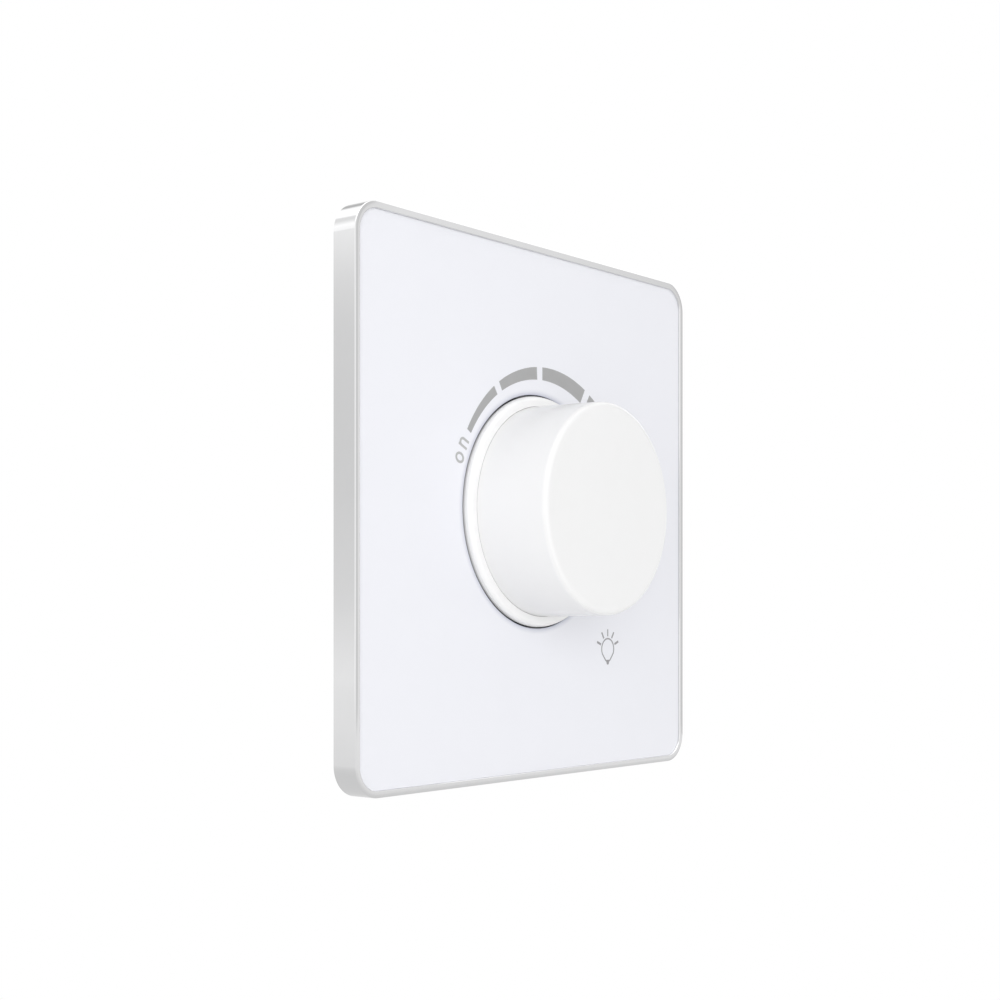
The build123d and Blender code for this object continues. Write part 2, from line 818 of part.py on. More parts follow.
def rear_housing():
    body = housing_box(0, housing_front, housing_back, housing_corner)
    body = chamfer(body.faces().sort_by(Axis.Y)[-1].edges(), housing_back_chamfer)
    rim_width = housing_width + 2 * housing_rim
    rim_height = housing_height + 2 * housing_rim
    rim = RectangleRounded(rim_width, rim_height, housing_corner + housing_rim)
    body += slab(rim, housing_front, housing_front + housing_rim_thickness)
    body -= housing_box(housing_wall, housing_front, housing_inside, housing_inner_corner)
    inner_half = housing_width / 2 - housing_wall
    hole_end = housing_front + screw_length + post_hole_extra
    for x, z in post_places():
        side = 1 if x > 0 else -1
        post = Circle(post_radius) + Pos(side * post_radius, 0) * Rectangle(2 * post_radius, post_web)
        post = slab(Pos(x, z) * post, housing_front, housing_front + post_length)
        body += post & housing_box(0, housing_front, housing_back, housing_corner)
        body -= slab(Pos(x, z) * Circle(screw_core_radius + screw_fit), housing_front, hole_end)
    for side in (-1, 1):
        for z in ledge_zs:
            reach = inner_half - board_width / 2 + ledge_width
            middle = inner_half - reach / 2 + ledge_root / 2
            ledge = Pos(side * middle, z) * Rectangle(reach + ledge_root, ledge_width)
            ledge = slab(ledge, board_back, housing_back)
            body += ledge & housing_box(0, housing_front, housing_back, housing_corner)
    vent_start = housing_front + housing_rim_thickness + vent_from_rim
    for i in range(vent_count):
        x = (i - (vent_count - 1) / 2) * vent_pitch
        vent = Pos(x, vent_start + vent_length / 2) * Rectangle(vent_width, vent_length)
        vent_plane = Plane.XY.offset(housing_height / 2 - 2 * housing_wall)
        body -= extrude(vent_plane * vent, amount=3 * housing_wall)
    for x in terminal_xs:
        driver_hole = Pos(x, block_middle_z) * Circle(driver_hole_radius)
        body -= slab(driver_hole, housing_inside - housing_wall, housing_back)
        entry = Pos(x, wire_y) * Rectangle(wire_entry + 2 * terminal_gap, wire_entry + 2 * terminal_gap)
        body -= extrude(Plane.XY.offset(-housing_height / 2 - housing_wall) * entry, amount=3 * housing_wall)
    return body


def board_leads():
    """Every round lead that passes the circuit board, as (x, z)."""
    places = [(mains_cap_x + side * mains_cap_pitch / 2, mains_cap_z) for side in (-1, 1)]
    for x in film_cap_xs:
        places += [(x + side * film_cap_pitch / 2, film_cap_z) for side in (-1, 1)]
    for x in resistor_xs:
        places += [(x, resistor_z + side * resistor_pitch / 2) for side in (-1, 1)]
    places += [(diac_x, diac_z + side * diac_pitch / 2) for side in (-1, 1)]
    places += [(sink_x + i * triac_lead_pitch, triac_leads_z) for i in (-1, 0, 1)]
    places += [(choke_x + side * choke_lead_offset, choke_z - choke_lead_radius) for side in (-1, 1)]
    places += [(fuse_x, fuse_z + side * (fuse_length - fuse_cap_length) / 2) for side in (-1, 1)]
    return places + [(x, block_middle_z) for x in terminal_xs]


def circuit_board():
    lead_hole = lead_width + 2 * lead_fit
    body = slab(RectangleRounded(board_width, board_height, board_corner), board_front, board_back)
    for x, z in board_leads():
        body -= slab(Pos(x, z) * Rectangle(lead_hole, lead_hole), board_front, board_back)
    tag_slot = Rectangle(tag_width, tag_thickness + 2 * lead_fit)
    for i in (-1, 0, 1):
        body -= slab(Pos(i * tag_pitch, -tag_row_offset) * tag_slot, board_front, board_back)
    for side in (-1, 1):
        body -= slab(Pos(side * switch_tag_pitch / 2, tag_row_offset) * tag_slot, board_front, board_back)
    return body


def heat_sink():
    outline = Pos(sink_x, sink_z) * RectangleRounded(sink_width, sink_height, sink_corner)
    outline -= Pos(sink_x, triac_hole_z) * Circle(triac_screw_radius + 2 * screw_fit)
    return slab(outline, mount_plate_back, mount_plate_back + sink_thickness)


def triac_pad():
    top = triac_top_z + pad_margin / 2
    height = triac_length + pad_margin
    outline = Pos(sink_x, top - height / 2) * Rectangle(triac_width + pad_margin, height)
    outline -= Pos(sink_x, triac_hole_z) * Circle(triac_screw_radius + 2 * screw_fit)
    return slab(outline, mount_plate_back + sink_thickness, triac_front)


def triac():
    """Flat power package: metal tab on the pad, moulded body, three leads bent back to the board."""
    tab_middle = triac_top_z - triac_length / 2
    tab = Pos(sink_x, tab_middle) * Rectangle(triac_width, triac_length)
    tab -= Pos(sink_x, triac_hole_z) * Circle(triac_tab_hole_radius)
    body_middle = triac_top_z - triac_length + triac_body_length / 2
    body = Pos(sink_x, body_middle) * Rectangle(triac_width, triac_body_length)
    body = slab(body, triac_front, triac_front + triac_thickness)
    body = chamfer(body.faces().sort_by(Axis.Y)[-1].edges(), triac_chamfer)
    whole = slab(tab, triac_front, triac_front + triac_tab_thickness) + body
    lead_front = triac_front + triac_thickness / 2
    bottom = triac_top_z - triac_length
    for i in (-1, 0, 1):
        x = sink_x + i * triac_lead_pitch
        reach = bottom - triac_leads_z + lead_width / 2
        strip = Pos(x, bottom - reach / 2) * Rectangle(lead_width, reach)
        whole += slab(strip, lead_front, lead_front + lead_width)
        whole += lead(x, triac_leads_z, lead_front, tail_end)
    return whole


def triac_screw():
    length = triac_front + triac_tab_thickness + triac_nut_thickness + triac_screw_end
    return countersunk_screw(
        sink_x, triac_hole_z, triac_screw_radius, triac_hole_radius, triac_screw_head_radius, length
    )


def triac_nut():
    start = triac_front + triac_tab_thickness
    outline = RegularPolygon(triac_nut_across_flats / 2, 6, major_radius=False)
    outline -= Circle(triac_screw_radius + screw_fit)
    return slab(Pos(sink_x, triac_hole_z) * outline, start, start + triac_nut_thickness)


def choke_core():
    ring = Pos(choke_x, choke_z) * (Circle(core_outer_radius) - Circle(core_inner_radius))
    return slab(ring, choke_front, choke_front + core_height)


def choke_winding():
    """Turns of thick wire side by side round the core, with the two ends led to the board."""
    width = core_outer_radius - core_inner_radius + 2 * wire_fit
    height = core_height + 2 * wire_fit
    middle_r = (core_outer_radius + core_inner_radius) / 2
    middle_y = choke_front + core_height / 2
    window = Rectangle(height, width)
    turn_face = Rectangle(height + 2 * wire_thickness, width + 2 * wire_thickness)
    turn_face = chamfer(turn_face.vertices(), wire_thickness) - window
    turn = extrude(Plane.YZ.offset(-wire_thickness / 2) * turn_face, amount=wire_thickness)
    turn = Pos(0, middle_y, middle_r) * turn
    solids = []
    for i in range(winding_turns):
        angle = winding_gap_angle / 2 + i * (360 - winding_gap_angle) / (winding_turns - 1)
        solids.append(Pos(choke_x, 0, choke_z) * clock(180 + angle) * turn)
    end_back = choke_front + core_height / 2
    for side in (-1, 1):
        place = (choke_x + side * choke_lead_offset, choke_z - choke_lead_radius)
        solids.append(lead(*place, board_front - lead_tail, end_back))
    return Compound(children=solids)


def box_capacitor(x, z, size, pitch, on_back):
    """Boxed film capacitor on two leads, on the back or the front of the circuit board."""
    width, height, depth = size
    case = Pos(x, z) * Rectangle(width, height)
    if on_back:
        start = board_back + part_lift
        body = slab(case, start, start + depth)
        far_face = body.faces().sort_by(Axis.Y)[-1]
        lead_ends = (board_front - lead_tail, start)
    else:
        start = board_front - part_lift
        body = slab(case, start - depth, start)
        far_face = body.faces().sort_by(Axis.Y)[0]
        lead_ends = (start, tail_end)
    body = chamfer(far_face.edges(), cap_chamfer)
    for side in (-1, 1):
        body += lead(x + side * pitch / 2, z, *lead_ends)
    return body


def mains_capacitor():
    return box_capacitor(mains_cap_x, mains_cap_z, mains_cap_size, mains_cap_pitch, True)


def film_capacitors():
    return Compound(
        children=[box_capacitor(x, film_cap_z, film_cap_size, film_cap_pitch, False) for x in film_cap_xs]
    )


def axial_part(x, z, pitch, body, radius):
    """A body along Z with a lead out of each end, bent back through the circuit board."""
    centre_y = board_front - part_lift - radius
    whole = Pos(x, centre_y, z) * body
    whole += Pos(x, centre_y, z) * Box(lead_width, lead_width, pitch + lead_width)
    for side in (-1, 1):
        whole += lead(x, z + side * pitch / 2, centre_y - lead_width / 2, tail_end)
    return whole


def resistors():
    """Three alike, thicker at the ends."""
    half = resistor_length / 2
    waist = resistor_radius - resistor_step
    waist_half = half - resistor_end_length - resistor_step
    outline = Polyline(
        (0, -half),
        (resistor_radius, -half),
        (resistor_radius, -waist_half - resistor_step),
        (waist, -waist_half),
        (waist, waist_half),
        (resistor_radius, waist_half + resistor_step),
        (resistor_radius, half),
        (0, half),
        close=True,
    )
    body = revolve(Plane.XZ * make_face(outline), axis=Axis.Z)
    return Compound(
        children=[axial_part(x, resistor_z, resistor_pitch, body, resistor_radius) for x in resistor_xs]
    )


def diac():
    body = chamfer(Cylinder(diac_radius, diac_length).edges().filter_by(GeomType.CIRCLE), diac_chamfer)
    return axial_part(diac_x, diac_z, diac_pitch, body, diac_radius)


def fuse_tube():
    outside = fuse_radius - fuse_cap_wall
    length = fuse_length - 2 * fuse_cap_wall
    tube = Cylinder(outside, length) - Cylinder(outside - fuse_glass_wall, length)
    return Pos(fuse_x, fuse_y, fuse_z) * tube


def fuse_caps():
    caps = []
    cap = Cylinder(fuse_radius, fuse_cap_length)
    cap -= Pos(0, 0, -fuse_cap_wall) * Cylinder(fuse_radius - fuse_cap_wall, fuse_cap_length)
    offset = (fuse_length - fuse_cap_length) / 2
    caps.append(Pos(fuse_x, fuse_y, fuse_z + offset) * cap)
    caps.append(Pos(fuse_x, fuse_y, fuse_z - offset) * Rot(180, 0, 0) * cap)
    return Compound(children=caps)


def fuse_clips():
    """Open spring clips that hold the fuse's caps, each on one leg."""
    clips = []
    outer = fuse_radius + shaft_fit + fuse_clip_thickness
    grip = Circle(outer) - Circle(fuse_radius + shaft_fit)
    grip -= Pos(0, outer) * Rectangle(fuse_clip_mouth_share * outer, outer)
    wall = extrude(grip, amount=fuse_clip_width / 2, both=True)
    leg_start = fuse_y + fuse_radius + shaft_fit
    for side in (-1, 1):
        z = fuse_z + side * (fuse_length - fuse_cap_length) / 2
        clip = Pos(fuse_x, fuse_y, z) * Rot(0, 0, 180) * wall
        clips.append(clip + lead(fuse_x, z, leg_start, tail_end))
    return Compound(children=clips)


def terminal_block():
    """Insulating block with a pocket for each cage, a driver hole behind and a wire hole below."""
    width = pole_count * pole_pitch + block_side_wall
    front = board_back + block_foot
    back = front + block_depth
    body = slab(Pos(0, block_middle_z) * Rectangle(width, block_height), front, back)
    body = chamfer(body.faces().sort_by(Axis.Y)[-1].edges(), block_chamfer)
    for side in (-1, 1):
        foot = Rectangle(block_foot_width, block_foot_share * block_height)
        body += slab(Pos(side * (width / 2 - block_foot_inset), block_middle_z) * foot, board_back, front)
    pocket = Rectangle(cage_width + 2 * terminal_gap, cage_height + 2 * terminal_gap)
    lead_hole = Rectangle(lead_width + 2 * lead_fit, lead_width + 2 * lead_fit)
    pocket_back = cage_front + cage_depth + terminal_gap
    for x in terminal_xs:
        body -= slab(Pos(x, block_middle_z) * pocket, cage_front - terminal_gap, pocket_back)
        body -= slab(Pos(x, block_middle_z) * Circle(driver_hole_radius), cage_front + cage_depth, back)
        entry = Pos(x, wire_y) * Rectangle(wire_entry, wire_entry)
        body -= extrude(Plane.XY.offset(block_bottom) * entry, amount=block_height / 2)
        body -= slab(Pos(x, block_middle_z) * lead_hole, front, cage_front)
    return body


def terminal_cages():
    """Brass cages with a square wire way and a threaded screw hole, each on one pin."""
    cages = []
    back = cage_front + cage_depth
    for x in terminal_xs:
        cage = slab(Pos(x, block_middle_z) * Rectangle(cage_width, cage_height), cage_front, back)
        way = Pos(x, wire_y) * Rectangle(wire_entry, wire_entry)
        cage -= extrude(Plane.XY.offset(block_middle_z - cage_height) * way, amount=2 * cage_height)
        cage -= slab(Pos(x, block_middle_z) * Circle(terminal_screw_radius + screw_fit), wire_y, back)
        cages.append(cage + lead(x, block_middle_z, board_front - lead_tail, cage_front))
    return Compound(children=cages)


def terminal_screws():
    """Slotted clamp screws, turned in from the back."""
    screws = []
    head_front = cage_front + cage_depth + terminal_gap
    for x in terminal_xs:
        head_back = head_front + terminal_head_length
        screw = slab(Circle(terminal_head_radius), head_front, head_back)
        screw += slab(Circle(terminal_screw_radius), head_back - terminal_screw_length, head_front)
        slot = Rectangle(2 * terminal_head_radius, driver_slot_width)
        screw -= slab(slot, head_back - driver_slot_depth, head_back)
        screws.append(Pos(x, 0, block_middle_z) * screw)
    return Compound(children=screws)


sub_parts = {
    "frame_bezel": frame_bezel,
    "glass_panel": glass_panel,
    "panel_carrier": panel_carrier,
    "collar_ring": collar_ring,
    "knob": knob,
    "knob_spring": knob_spring,
    "mounting_plate": mounting_plate,
    "rear_housing": rear_housing,
    "housing_screws": housing_screws,
    "pot_body": pot_body,
    "pot_bushing": pot_bushing,
    "pot_nut": pot_nut,
    "pot_washer": pot_washer,
    "pot_shaft": pot_shaft,
    "pot_circlip": pot_circlip,
    "pot_rotor": pot_rotor,
    "pot_wiper": pot_wiper,
    "pot_track_board": pot_track_board,
    "pot_terminals": pot_terminals,
    "pot_switch_can": pot_switch_can,
    "pot_switch_terminals": pot_switch_terminals,
    "circuit_board": circuit_board,
    "heat_sink": heat_sink,
    "triac": triac,
    "triac_pad": triac_pad,
    "triac_screw": triac_screw,
    "triac_nut": triac_nut,
    "choke_core": choke_core,
    "choke_winding": choke_winding,
    "mains_capacitor": mains_capacitor,
    "film_capacitors": film_capacitors,
    "resistors": resistors,
    "diac": diac,
    "fuse_tube": fuse_tube,
    "fuse_caps": fuse_caps,
    "fuse_clips": fuse_clips,
    "terminal_block": terminal_block,
    "terminal_cages": terminal_cages,
    "terminal_screws": terminal_screws,
}

os.makedirs("parts", exist_ok=True)
for name, make in sub_parts.items():
    shape = make()
    export_step(shape, f"parts/{name}.step")
    print(name, len(shape.solids()), "solids", round(shape.volume, 2), "mm3")
print("knob travel", knob_travel, "degrees")
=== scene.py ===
import json
import math

import bmesh
import bpy
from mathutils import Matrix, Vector


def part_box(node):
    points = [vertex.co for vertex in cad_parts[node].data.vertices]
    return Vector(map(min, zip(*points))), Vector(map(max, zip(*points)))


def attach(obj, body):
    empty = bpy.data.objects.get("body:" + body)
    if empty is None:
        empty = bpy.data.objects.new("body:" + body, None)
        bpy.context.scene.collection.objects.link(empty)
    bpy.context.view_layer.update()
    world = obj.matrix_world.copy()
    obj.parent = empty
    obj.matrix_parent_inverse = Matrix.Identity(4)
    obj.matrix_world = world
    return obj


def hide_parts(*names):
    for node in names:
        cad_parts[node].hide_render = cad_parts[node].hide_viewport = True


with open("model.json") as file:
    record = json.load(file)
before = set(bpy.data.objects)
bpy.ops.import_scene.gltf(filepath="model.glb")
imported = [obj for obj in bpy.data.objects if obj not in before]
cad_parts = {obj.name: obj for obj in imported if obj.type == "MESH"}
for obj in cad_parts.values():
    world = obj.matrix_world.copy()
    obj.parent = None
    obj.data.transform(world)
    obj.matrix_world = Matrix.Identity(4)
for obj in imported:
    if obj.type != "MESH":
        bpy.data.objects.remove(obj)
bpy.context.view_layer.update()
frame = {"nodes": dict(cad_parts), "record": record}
mm = 0.001
tiny = 0.0001 * mm  # well under any size here
print("frame loaded:", len(frame["nodes"]), "nodes")


# Small mesh tools, all in metres. The knob's axis is Y and the front faces -Y.

def addObject(name, data):
    thing = bpy.data.objects.new(name, data)
    bpy.context.scene.collection.objects.link(thing)
    return thing


def newPiece(name, verts, faces):
    mesh = bpy.data.meshes.new(name)
    mesh.from_pydata(verts, [], faces)
    mesh.validate()
    piece = addObject(name, mesh)
    tidyMesh(piece)
    return piece


def fromBmesh(name, bm):
    mesh = bpy.data.meshes.new(name)
    bm.to_mesh(mesh)
    bm.free()
    return addObject(name, mesh)


def tidyMesh(piece, mergeDistance=0.002 * mm):
    bm = bmesh.new()
    bm.from_mesh(piece.data)
    bmesh.ops.remove_doubles(bm, verts=bm.verts, dist=mergeDistance)
    bmesh.ops.recalc_face_normals(bm, faces=bm.faces)
    bm.to_mesh(piece.data)
    bm.free()


def smoothShade(piece, angle=35):
    piece.data.shade_smooth()
    piece.data.set_sharp_from_angle(angle=math.radians(angle))


def arcPoints(centre, radius, start, end, steps):
    # points on an arc, angles in degrees, as (across, along) pairs; two radii make it elliptic
    if not isinstance(radius, tuple):
        radius = (radius, radius)
    points = []
    for i in range(steps + 1):
        a = math.radians(start + (end - start) * i / steps)
        points.append((centre[0] + radius[0] * math.cos(a), centre[1] + radius[1] * math.sin(a)))
    return points


def lathe(name, profile, segments, closed=True, reach=None):
    # turns (radius, depth) points about the Y axis; reach(radius, angle) may change a ring's radius
    verts = []
    rings = []
    for radius, depth in profile:
        if radius < tiny:
            rings.append([len(verts)] * segments)
            verts.append((0, depth, 0))
            continue
        rings.append(list(range(len(verts), len(verts) + segments)))
        for i in range(segments):
            a = 2 * math.pi * i / segments
            r = reach(radius, a) if reach else radius
            verts.append((r * math.sin(a), depth, r * math.cos(a)))
    faces = []
    count = len(rings) if closed else len(rings) - 1
    for k in range(count):
        one, two = rings[k], rings[(k + 1) % len(rings)]
        for i in range(segments):
            j = (i + 1) % segments
            corners = list(dict.fromkeys([one[i], one[j], two[j], two[i]]))
            if len(corners) > 2:
                faces.append(corners)
    return newPiece(name, verts, faces)


def roundedSquare(half, corner, steps):
    # outline of a square with round corners, as (x, z) points, from the upper right corner on
    points = []
    for k, (sx, sz) in enumerate([(1, 1), (-1, 1), (-1, -1), (1, -1)]):
        centre = (sx * (half - corner), sz * (half - corner))
        points += arcPoints(centre, corner, 90 * k, 90 * k + 90, steps)
    return points


def sweepSquare(name, profile, half, corner, steps):
    # sweeps a closed profile of (inset, depth) points round a square with round corners
    verts = []
    faces = []
    size = 4 * (steps + 1)
    for inset, depth in profile:
        verts += [(x, depth, z) for x, z in roundedSquare(half - inset, corner - inset, steps)]
    for k in range(len(profile)):
        one, two = k * size, (k + 1) % len(profile) * size
        for i in range(size):
            j = (i + 1) % size
            faces.append([one + i, one + j, two + j, two + i])
    return newPiece(name, verts, faces)


def prism(name, outline, front, back):
    # a closed (x, z) outline with depth from front to back
    n = len(outline)
    verts = [(x, front, z) for x, z in outline] + [(x, back, z) for x, z in outline]
    faces = [list(range(n)), list(range(n, 2 * n))]
    faces += [[i, (i + 1) % n, n + (i + 1) % n, n + i] for i in range(n)]
    return newPiece(name, verts, faces)


def turnAbout(points, angle):
    # turns (x, z) points clockwise as seen from the front, angle in degrees
    a = math.radians(angle)
    return [(x * math.cos(a) + z * math.sin(a), z * math.cos(a) - x * math.sin(a)) for x, z in points]


def ringSector(inner, outer, middle, width, steps):
    # part of a ring, middle clockwise from twelve o'clock, width in degrees
    points = arcPoints((0, 0), outer, 90 + width / 2, 90 - width / 2, steps)
    points += arcPoints((0, 0), inner, 90 - width / 2, 90 + width / 2, steps)
    return turnAbout(points, middle)


def combine(piece, others, operation):
    # joins or cuts with solid tools, which are then deleted
    for other in others:
        modifier = piece.modifiers.new(operation.lower(), "BOOLEAN")
        modifier.operation = operation
        modifier.solver = "EXACT"
        modifier.object = other
    graph = bpy.context.evaluated_depsgraph_get()
    mesh = bpy.data.meshes.new_from_object(piece.evaluated_get(graph))
    piece.modifiers.clear()
    old = piece.data
    piece.data = mesh
    mesh.name = piece.name
    bpy.data.meshes.remove(old)
    for other in others:
        bpy.data.objects.remove(other)
    tidyMesh(piece)


def joinPieces(name, parts):
    bm = bmesh.new()
    for part in parts:
        bm.from_mesh(part.data)
        bpy.data.objects.remove(part)
    return fromBmesh(name, bm)


def dress(piece, body, slotName, material, *nodes):
    piece.data.materials.clear()
    piece.data.materials.append(material)
    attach(piece, body)
    if nodes:
        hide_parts(*nodes)


# Shader tools, and the node groups that several finishes share

noiseSpan = (0.3, 0.7)  # most of a noise lies between these


def feed(tree, socket, value):
    # a number or a colour is set on the socket, and an output is linked to it
    if isinstance(value, (int, float, tuple)):
        socket.default_value = value
    else:
        tree.links.new(value, socket)


def mathNode(tree, operation, one, two=None, clamp=False):
    node = tree.nodes.new("ShaderNodeMath")
    node.operation = operation
    node.use_clamp = clamp
    feed(tree, node.inputs[0], one)
    if two is not None:
        feed(tree, node.inputs[1], two)
    return node.outputs[0]


def noiseNode(tree, vector, scale, detail=3, roughness=0.5):
    node = tree.nodes.new("ShaderNodeTexNoise")
    for key, value in (("Vector", vector), ("Scale", scale), ("Detail", detail), ("Roughness", roughness)):
        feed(tree, node.inputs[key], value)
    return node.outputs["Fac"]


def rangeNode(tree, value, low, high, toLow=0.0, toHigh=1.0):
    node = tree.nodes.new("ShaderNodeMapRange")
    tree.links.new(value, node.inputs["Value"])
    for key, number in (("From Min", low), ("From Max", high), ("To Min", toLow), ("To Max", toHigh)):
        feed(tree, node.inputs[key], number)
    return node.outputs["Result"]


def mixColour(tree, factor, one, two):
    node = tree.nodes.new("ShaderNodeMix")
    node.data_type = "RGBA"
    for key, value in (("Factor", factor), ("A", one), ("B", two)):
        feed(tree, node.inputs[key], value)
    return node.outputs["Result"]


def objectPlace(tree):
    return tree.nodes.new("ShaderNodeTexCoord").outputs["Object"]


def splitVector(tree, vector):
    node = tree.nodes.new("ShaderNodeSeparateXYZ")
    tree.links.new(vector, node.inputs["Vector"])
    return node.outputs


def socketGroup(name, inputs, outputs):
    group = bpy.data.node_groups.new(name, "ShaderNodeTree")
    for socketName, kind, value in inputs:
        socket = group.interface.new_socket(socketName, in_out="INPUT", socket_type=kind)
        socket.default_value = value
    for socketName, kind in outputs:
        group.interface.new_socket(socketName, in_out="OUTPUT", socket_type=kind)
    return group, group.nodes.new("NodeGroupInput").outputs, group.nodes.new("NodeGroupOutput").inputs


def makeToneGroup():
    # slow patches between two tones, with finer ones on top
    group, given, out = socketGroup(
        "tonePatches",
        [
            ("Tone A", "NodeSocketColor", (0.8, 0.8, 0.8, 1)),
            ("Tone B", "NodeSocketColor", (0.7, 0.7, 0.7, 1)),
            ("Patch Scale", "NodeSocketFloat", 60.0),
            ("Rough Low", "NodeSocketFloat", 0.3),
            ("Rough High", "NodeSocketFloat", 0.4),
        ],
        [("Color", "NodeSocketColor"), ("Roughness", "NodeSocketFloat")],
    )
    timesFiner, fineShare = 9, 0.3
    patchSpan = (0.35, 0.65)
    place = objectPlace(group)
    slow = noiseNode(group, place, given["Patch Scale"], detail=4, roughness=0.55)
    fineScale = mathNode(group, "MULTIPLY", given["Patch Scale"], timesFiner)
    fine = noiseNode(group, place, fineScale, detail=2)
    slowPart = mathNode(group, "MULTIPLY", slow, 1 - fineShare)
    blend = mathNode(group, "ADD", slowPart, mathNode(group, "MULTIPLY", fine, fineShare))
    share = rangeNode(group, blend, *patchSpan)
    group.links.new(mixColour(group, share, given["Tone A"], given["Tone B"]), out["Color"])
    rough = rangeNode(group, slow, *noiseSpan, given["Rough Low"], given["Rough High"])
    group.links.new(rough, out["Roughness"])
    return group


def makeMouldGroup():
    # fine eroded texture of a mould, over a faint orange peel
    group, given, out = socketGroup(
        "mouldSkin",
        [("Grain Scale", "NodeSocketFloat", 3000.0), ("Peel Share", "NodeSocketFloat", 0.3)],
        [("Height", "NodeSocketFloat")],
    )
    peelToGrain = 0.12
    place = objectPlace(group)
    grain = noiseNode(group, place, given["Grain Scale"], detail=4, roughness=0.6)
    peelScale = mathNode(group, "MULTIPLY", given["Grain Scale"], peelToGrain)
    peel = noiseNode(group, place, peelScale, detail=1, roughness=0.4)
    grainPart = mathNode(group, "MULTIPLY", grain, mathNode(group, "SUBTRACT", 1.0, given["Peel Share"]))
    height = mathNode(group, "ADD", grainPart, mathNode(group, "MULTIPLY", peel, given["Peel Share"]))
    group.links.new(height, out["Height"])
    return group


def makeLinesGroup():
    # long fine lines, as rolling, drawing or turning leaves them
    group, given, out = socketGroup(
        "drawnLines",
        [("Stretch", "NodeSocketVector", (1.0, 1.0, 1.0)), ("Line Scale", "NodeSocketFloat", 400.0)],
        [("Lines", "NodeSocketFloat"), ("Height", "NodeSocketFloat")],
    )
    stretch = group.nodes.new("ShaderNodeVectorMath")
    stretch.operation = "MULTIPLY"
    group.links.new(objectPlace(group), stretch.inputs[0])
    group.links.new(given["Stretch"], stretch.inputs[1])
    lines = noiseNode(group, stretch.outputs[0], given["Line Scale"], detail=5, roughness=0.6)
    group.links.new(rangeNode(group, lines, *noiseSpan), out["Lines"])
    group.links.new(lines, out["Height"])
    return group


def makeWearGroup():
    # convex edges, where handling and tumbling brighten a finish
    group, given, out = socketGroup(
        "edgeWear",
        [("Width", "NodeSocketFloat", 0.02), ("Break Scale", "NodeSocketFloat", 900.0)],
        [("Mask", "NodeSocketFloat")],
    )
    edgeStart = 0.505  # a flat face reads 0.5
    breakSpan, leastWear = (0.4, 0.6), 0.2
    point = group.nodes.new("ShaderNodeNewGeometry").outputs["Pointiness"]
    edge = rangeNode(group, point, edgeStart, mathNode(group, "ADD", edgeStart, given["Width"]))
    breaks = noiseNode(group, objectPlace(group), given["Break Scale"], roughness=0.6)
    broken = rangeNode(group, breaks, *breakSpan, leastWear, 1.0)
    group.links.new(mathNode(group, "MULTIPLY", edge, broken, clamp=True), out["Mask"])
    return group


toneGroup = makeToneGroup()
mouldGroup = makeMouldGroup()
linesGroup = makeLinesGroup()
wearGroup = makeWearGroup()
print("shader groups ready")


# Finishes

def colour(r, g, b):
    return (r, g, b, 1)


def grey(tone):
    return (tone, tone, tone)


def startFinish(name):
    material = bpy.data.materials.new(name)
    material.use_nodes = True
    tree = material.node_tree
    return material, tree, tree.nodes["Principled BSDF"]


def useGroup(tree, group, **values):
    # values by the sockets' names, so that patchScale goes to Patch Scale
    node = tree.nodes.new("ShaderNodeGroup")
    node.node_tree = group
    for key, value in values.items():
        words = key[0].upper() + "".join(" " + c if c.isupper() else c for c in key[1:])
        node.inputs[words].default_value = value
    return node.outputs


def patchTones(tree, toneA, toneB, rough, patchScale):
    return useGroup(tree, toneGroup, toneA=colour(*toneA), toneB=colour(*toneB), patchScale=patchScale,
                    roughLow=rough[0], roughHigh=rough[1])


def addBump(tree, shader, height, strength, distance):
    bump = tree.nodes.new("ShaderNodeBump")
    bump.inputs["Strength"].default_value = strength
    bump.inputs["Distance"].default_value = distance
    tree.links.new(height, bump.inputs["Height"])
    tree.links.new(bump.outputs["Normal"], shader.inputs["Normal"])


def plasticFinish(name, toneA, toneB, rough, patchScale=60, grainScale=3000, peelShare=0.3, bump=0.1,
                  bumpDepth=0.02 * mm, coat=0.0, coatRough=0.1):
    material, tree, shader = startFinish(name)
    tone = patchTones(tree, toneA, toneB, rough, patchScale)
    tree.links.new(tone["Color"], shader.inputs["Base Color"])
    tree.links.new(tone["Roughness"], shader.inputs["Roughness"])
    skin = useGroup(tree, mouldGroup, grainScale=grainScale, peelShare=peelShare)
    addBump(tree, shader, skin["Height"], bump, bumpDepth)
    shader.inputs["Coat Weight"].default_value = coat
    shader.inputs["Coat Roughness"].default_value = coatRough
    return material


whiteSettings = {
    "patchDrop": 0.01,
    "rough": (0.22, 0.27),
    "skin": {"patchScale": 40, "grainScale": 2500, "peelShare": 0.5, "bump": 0.04},
    # painted shade in the joints, darker and a little bluish, with an uneven spread
    "paintedShadeTone": (0.04, 0.046, 0.07),
    "paintedShadeScale": 300,
    "paintedShadeLeast": 0.9,
}


def whiteMoulding(name, tone):
    # the plastic of the knob and the ring
    s = whiteSettings
    return plasticFinish(name, grey(tone), grey(tone - s["patchDrop"]), s["rough"], **s["skin"])


def paintedShadeMoulding(name, tone, steps):
    # painted shade: darker from one depth to another, as the joints between the ring, knob and panel lie in
    # shade
    s = whiteSettings
    material = whiteMoulding(name, tone)
    tree = material.node_tree
    shader = tree.nodes["Principled BSDF"]
    base = shader.inputs["Base Color"].links[0].from_socket
    place = objectPlace(tree)
    along = splitVector(tree, place)["Y"]
    depth = 0.0
    for start, end, share in steps:
        depth = mathNode(tree, "MAXIMUM", rangeNode(tree, along, start, end, toHigh=share), depth)
    uneven = rangeNode(tree, noiseNode(tree, place, s["paintedShadeScale"]), *noiseSpan, s["paintedShadeLeast"], 1.0)
    toned = mixColour(tree, mathNode(tree, "MULTIPLY", depth, uneven), base, colour(*s["paintedShadeTone"]))
    tree.links.new(toned, shader.inputs["Base Color"])
    return material


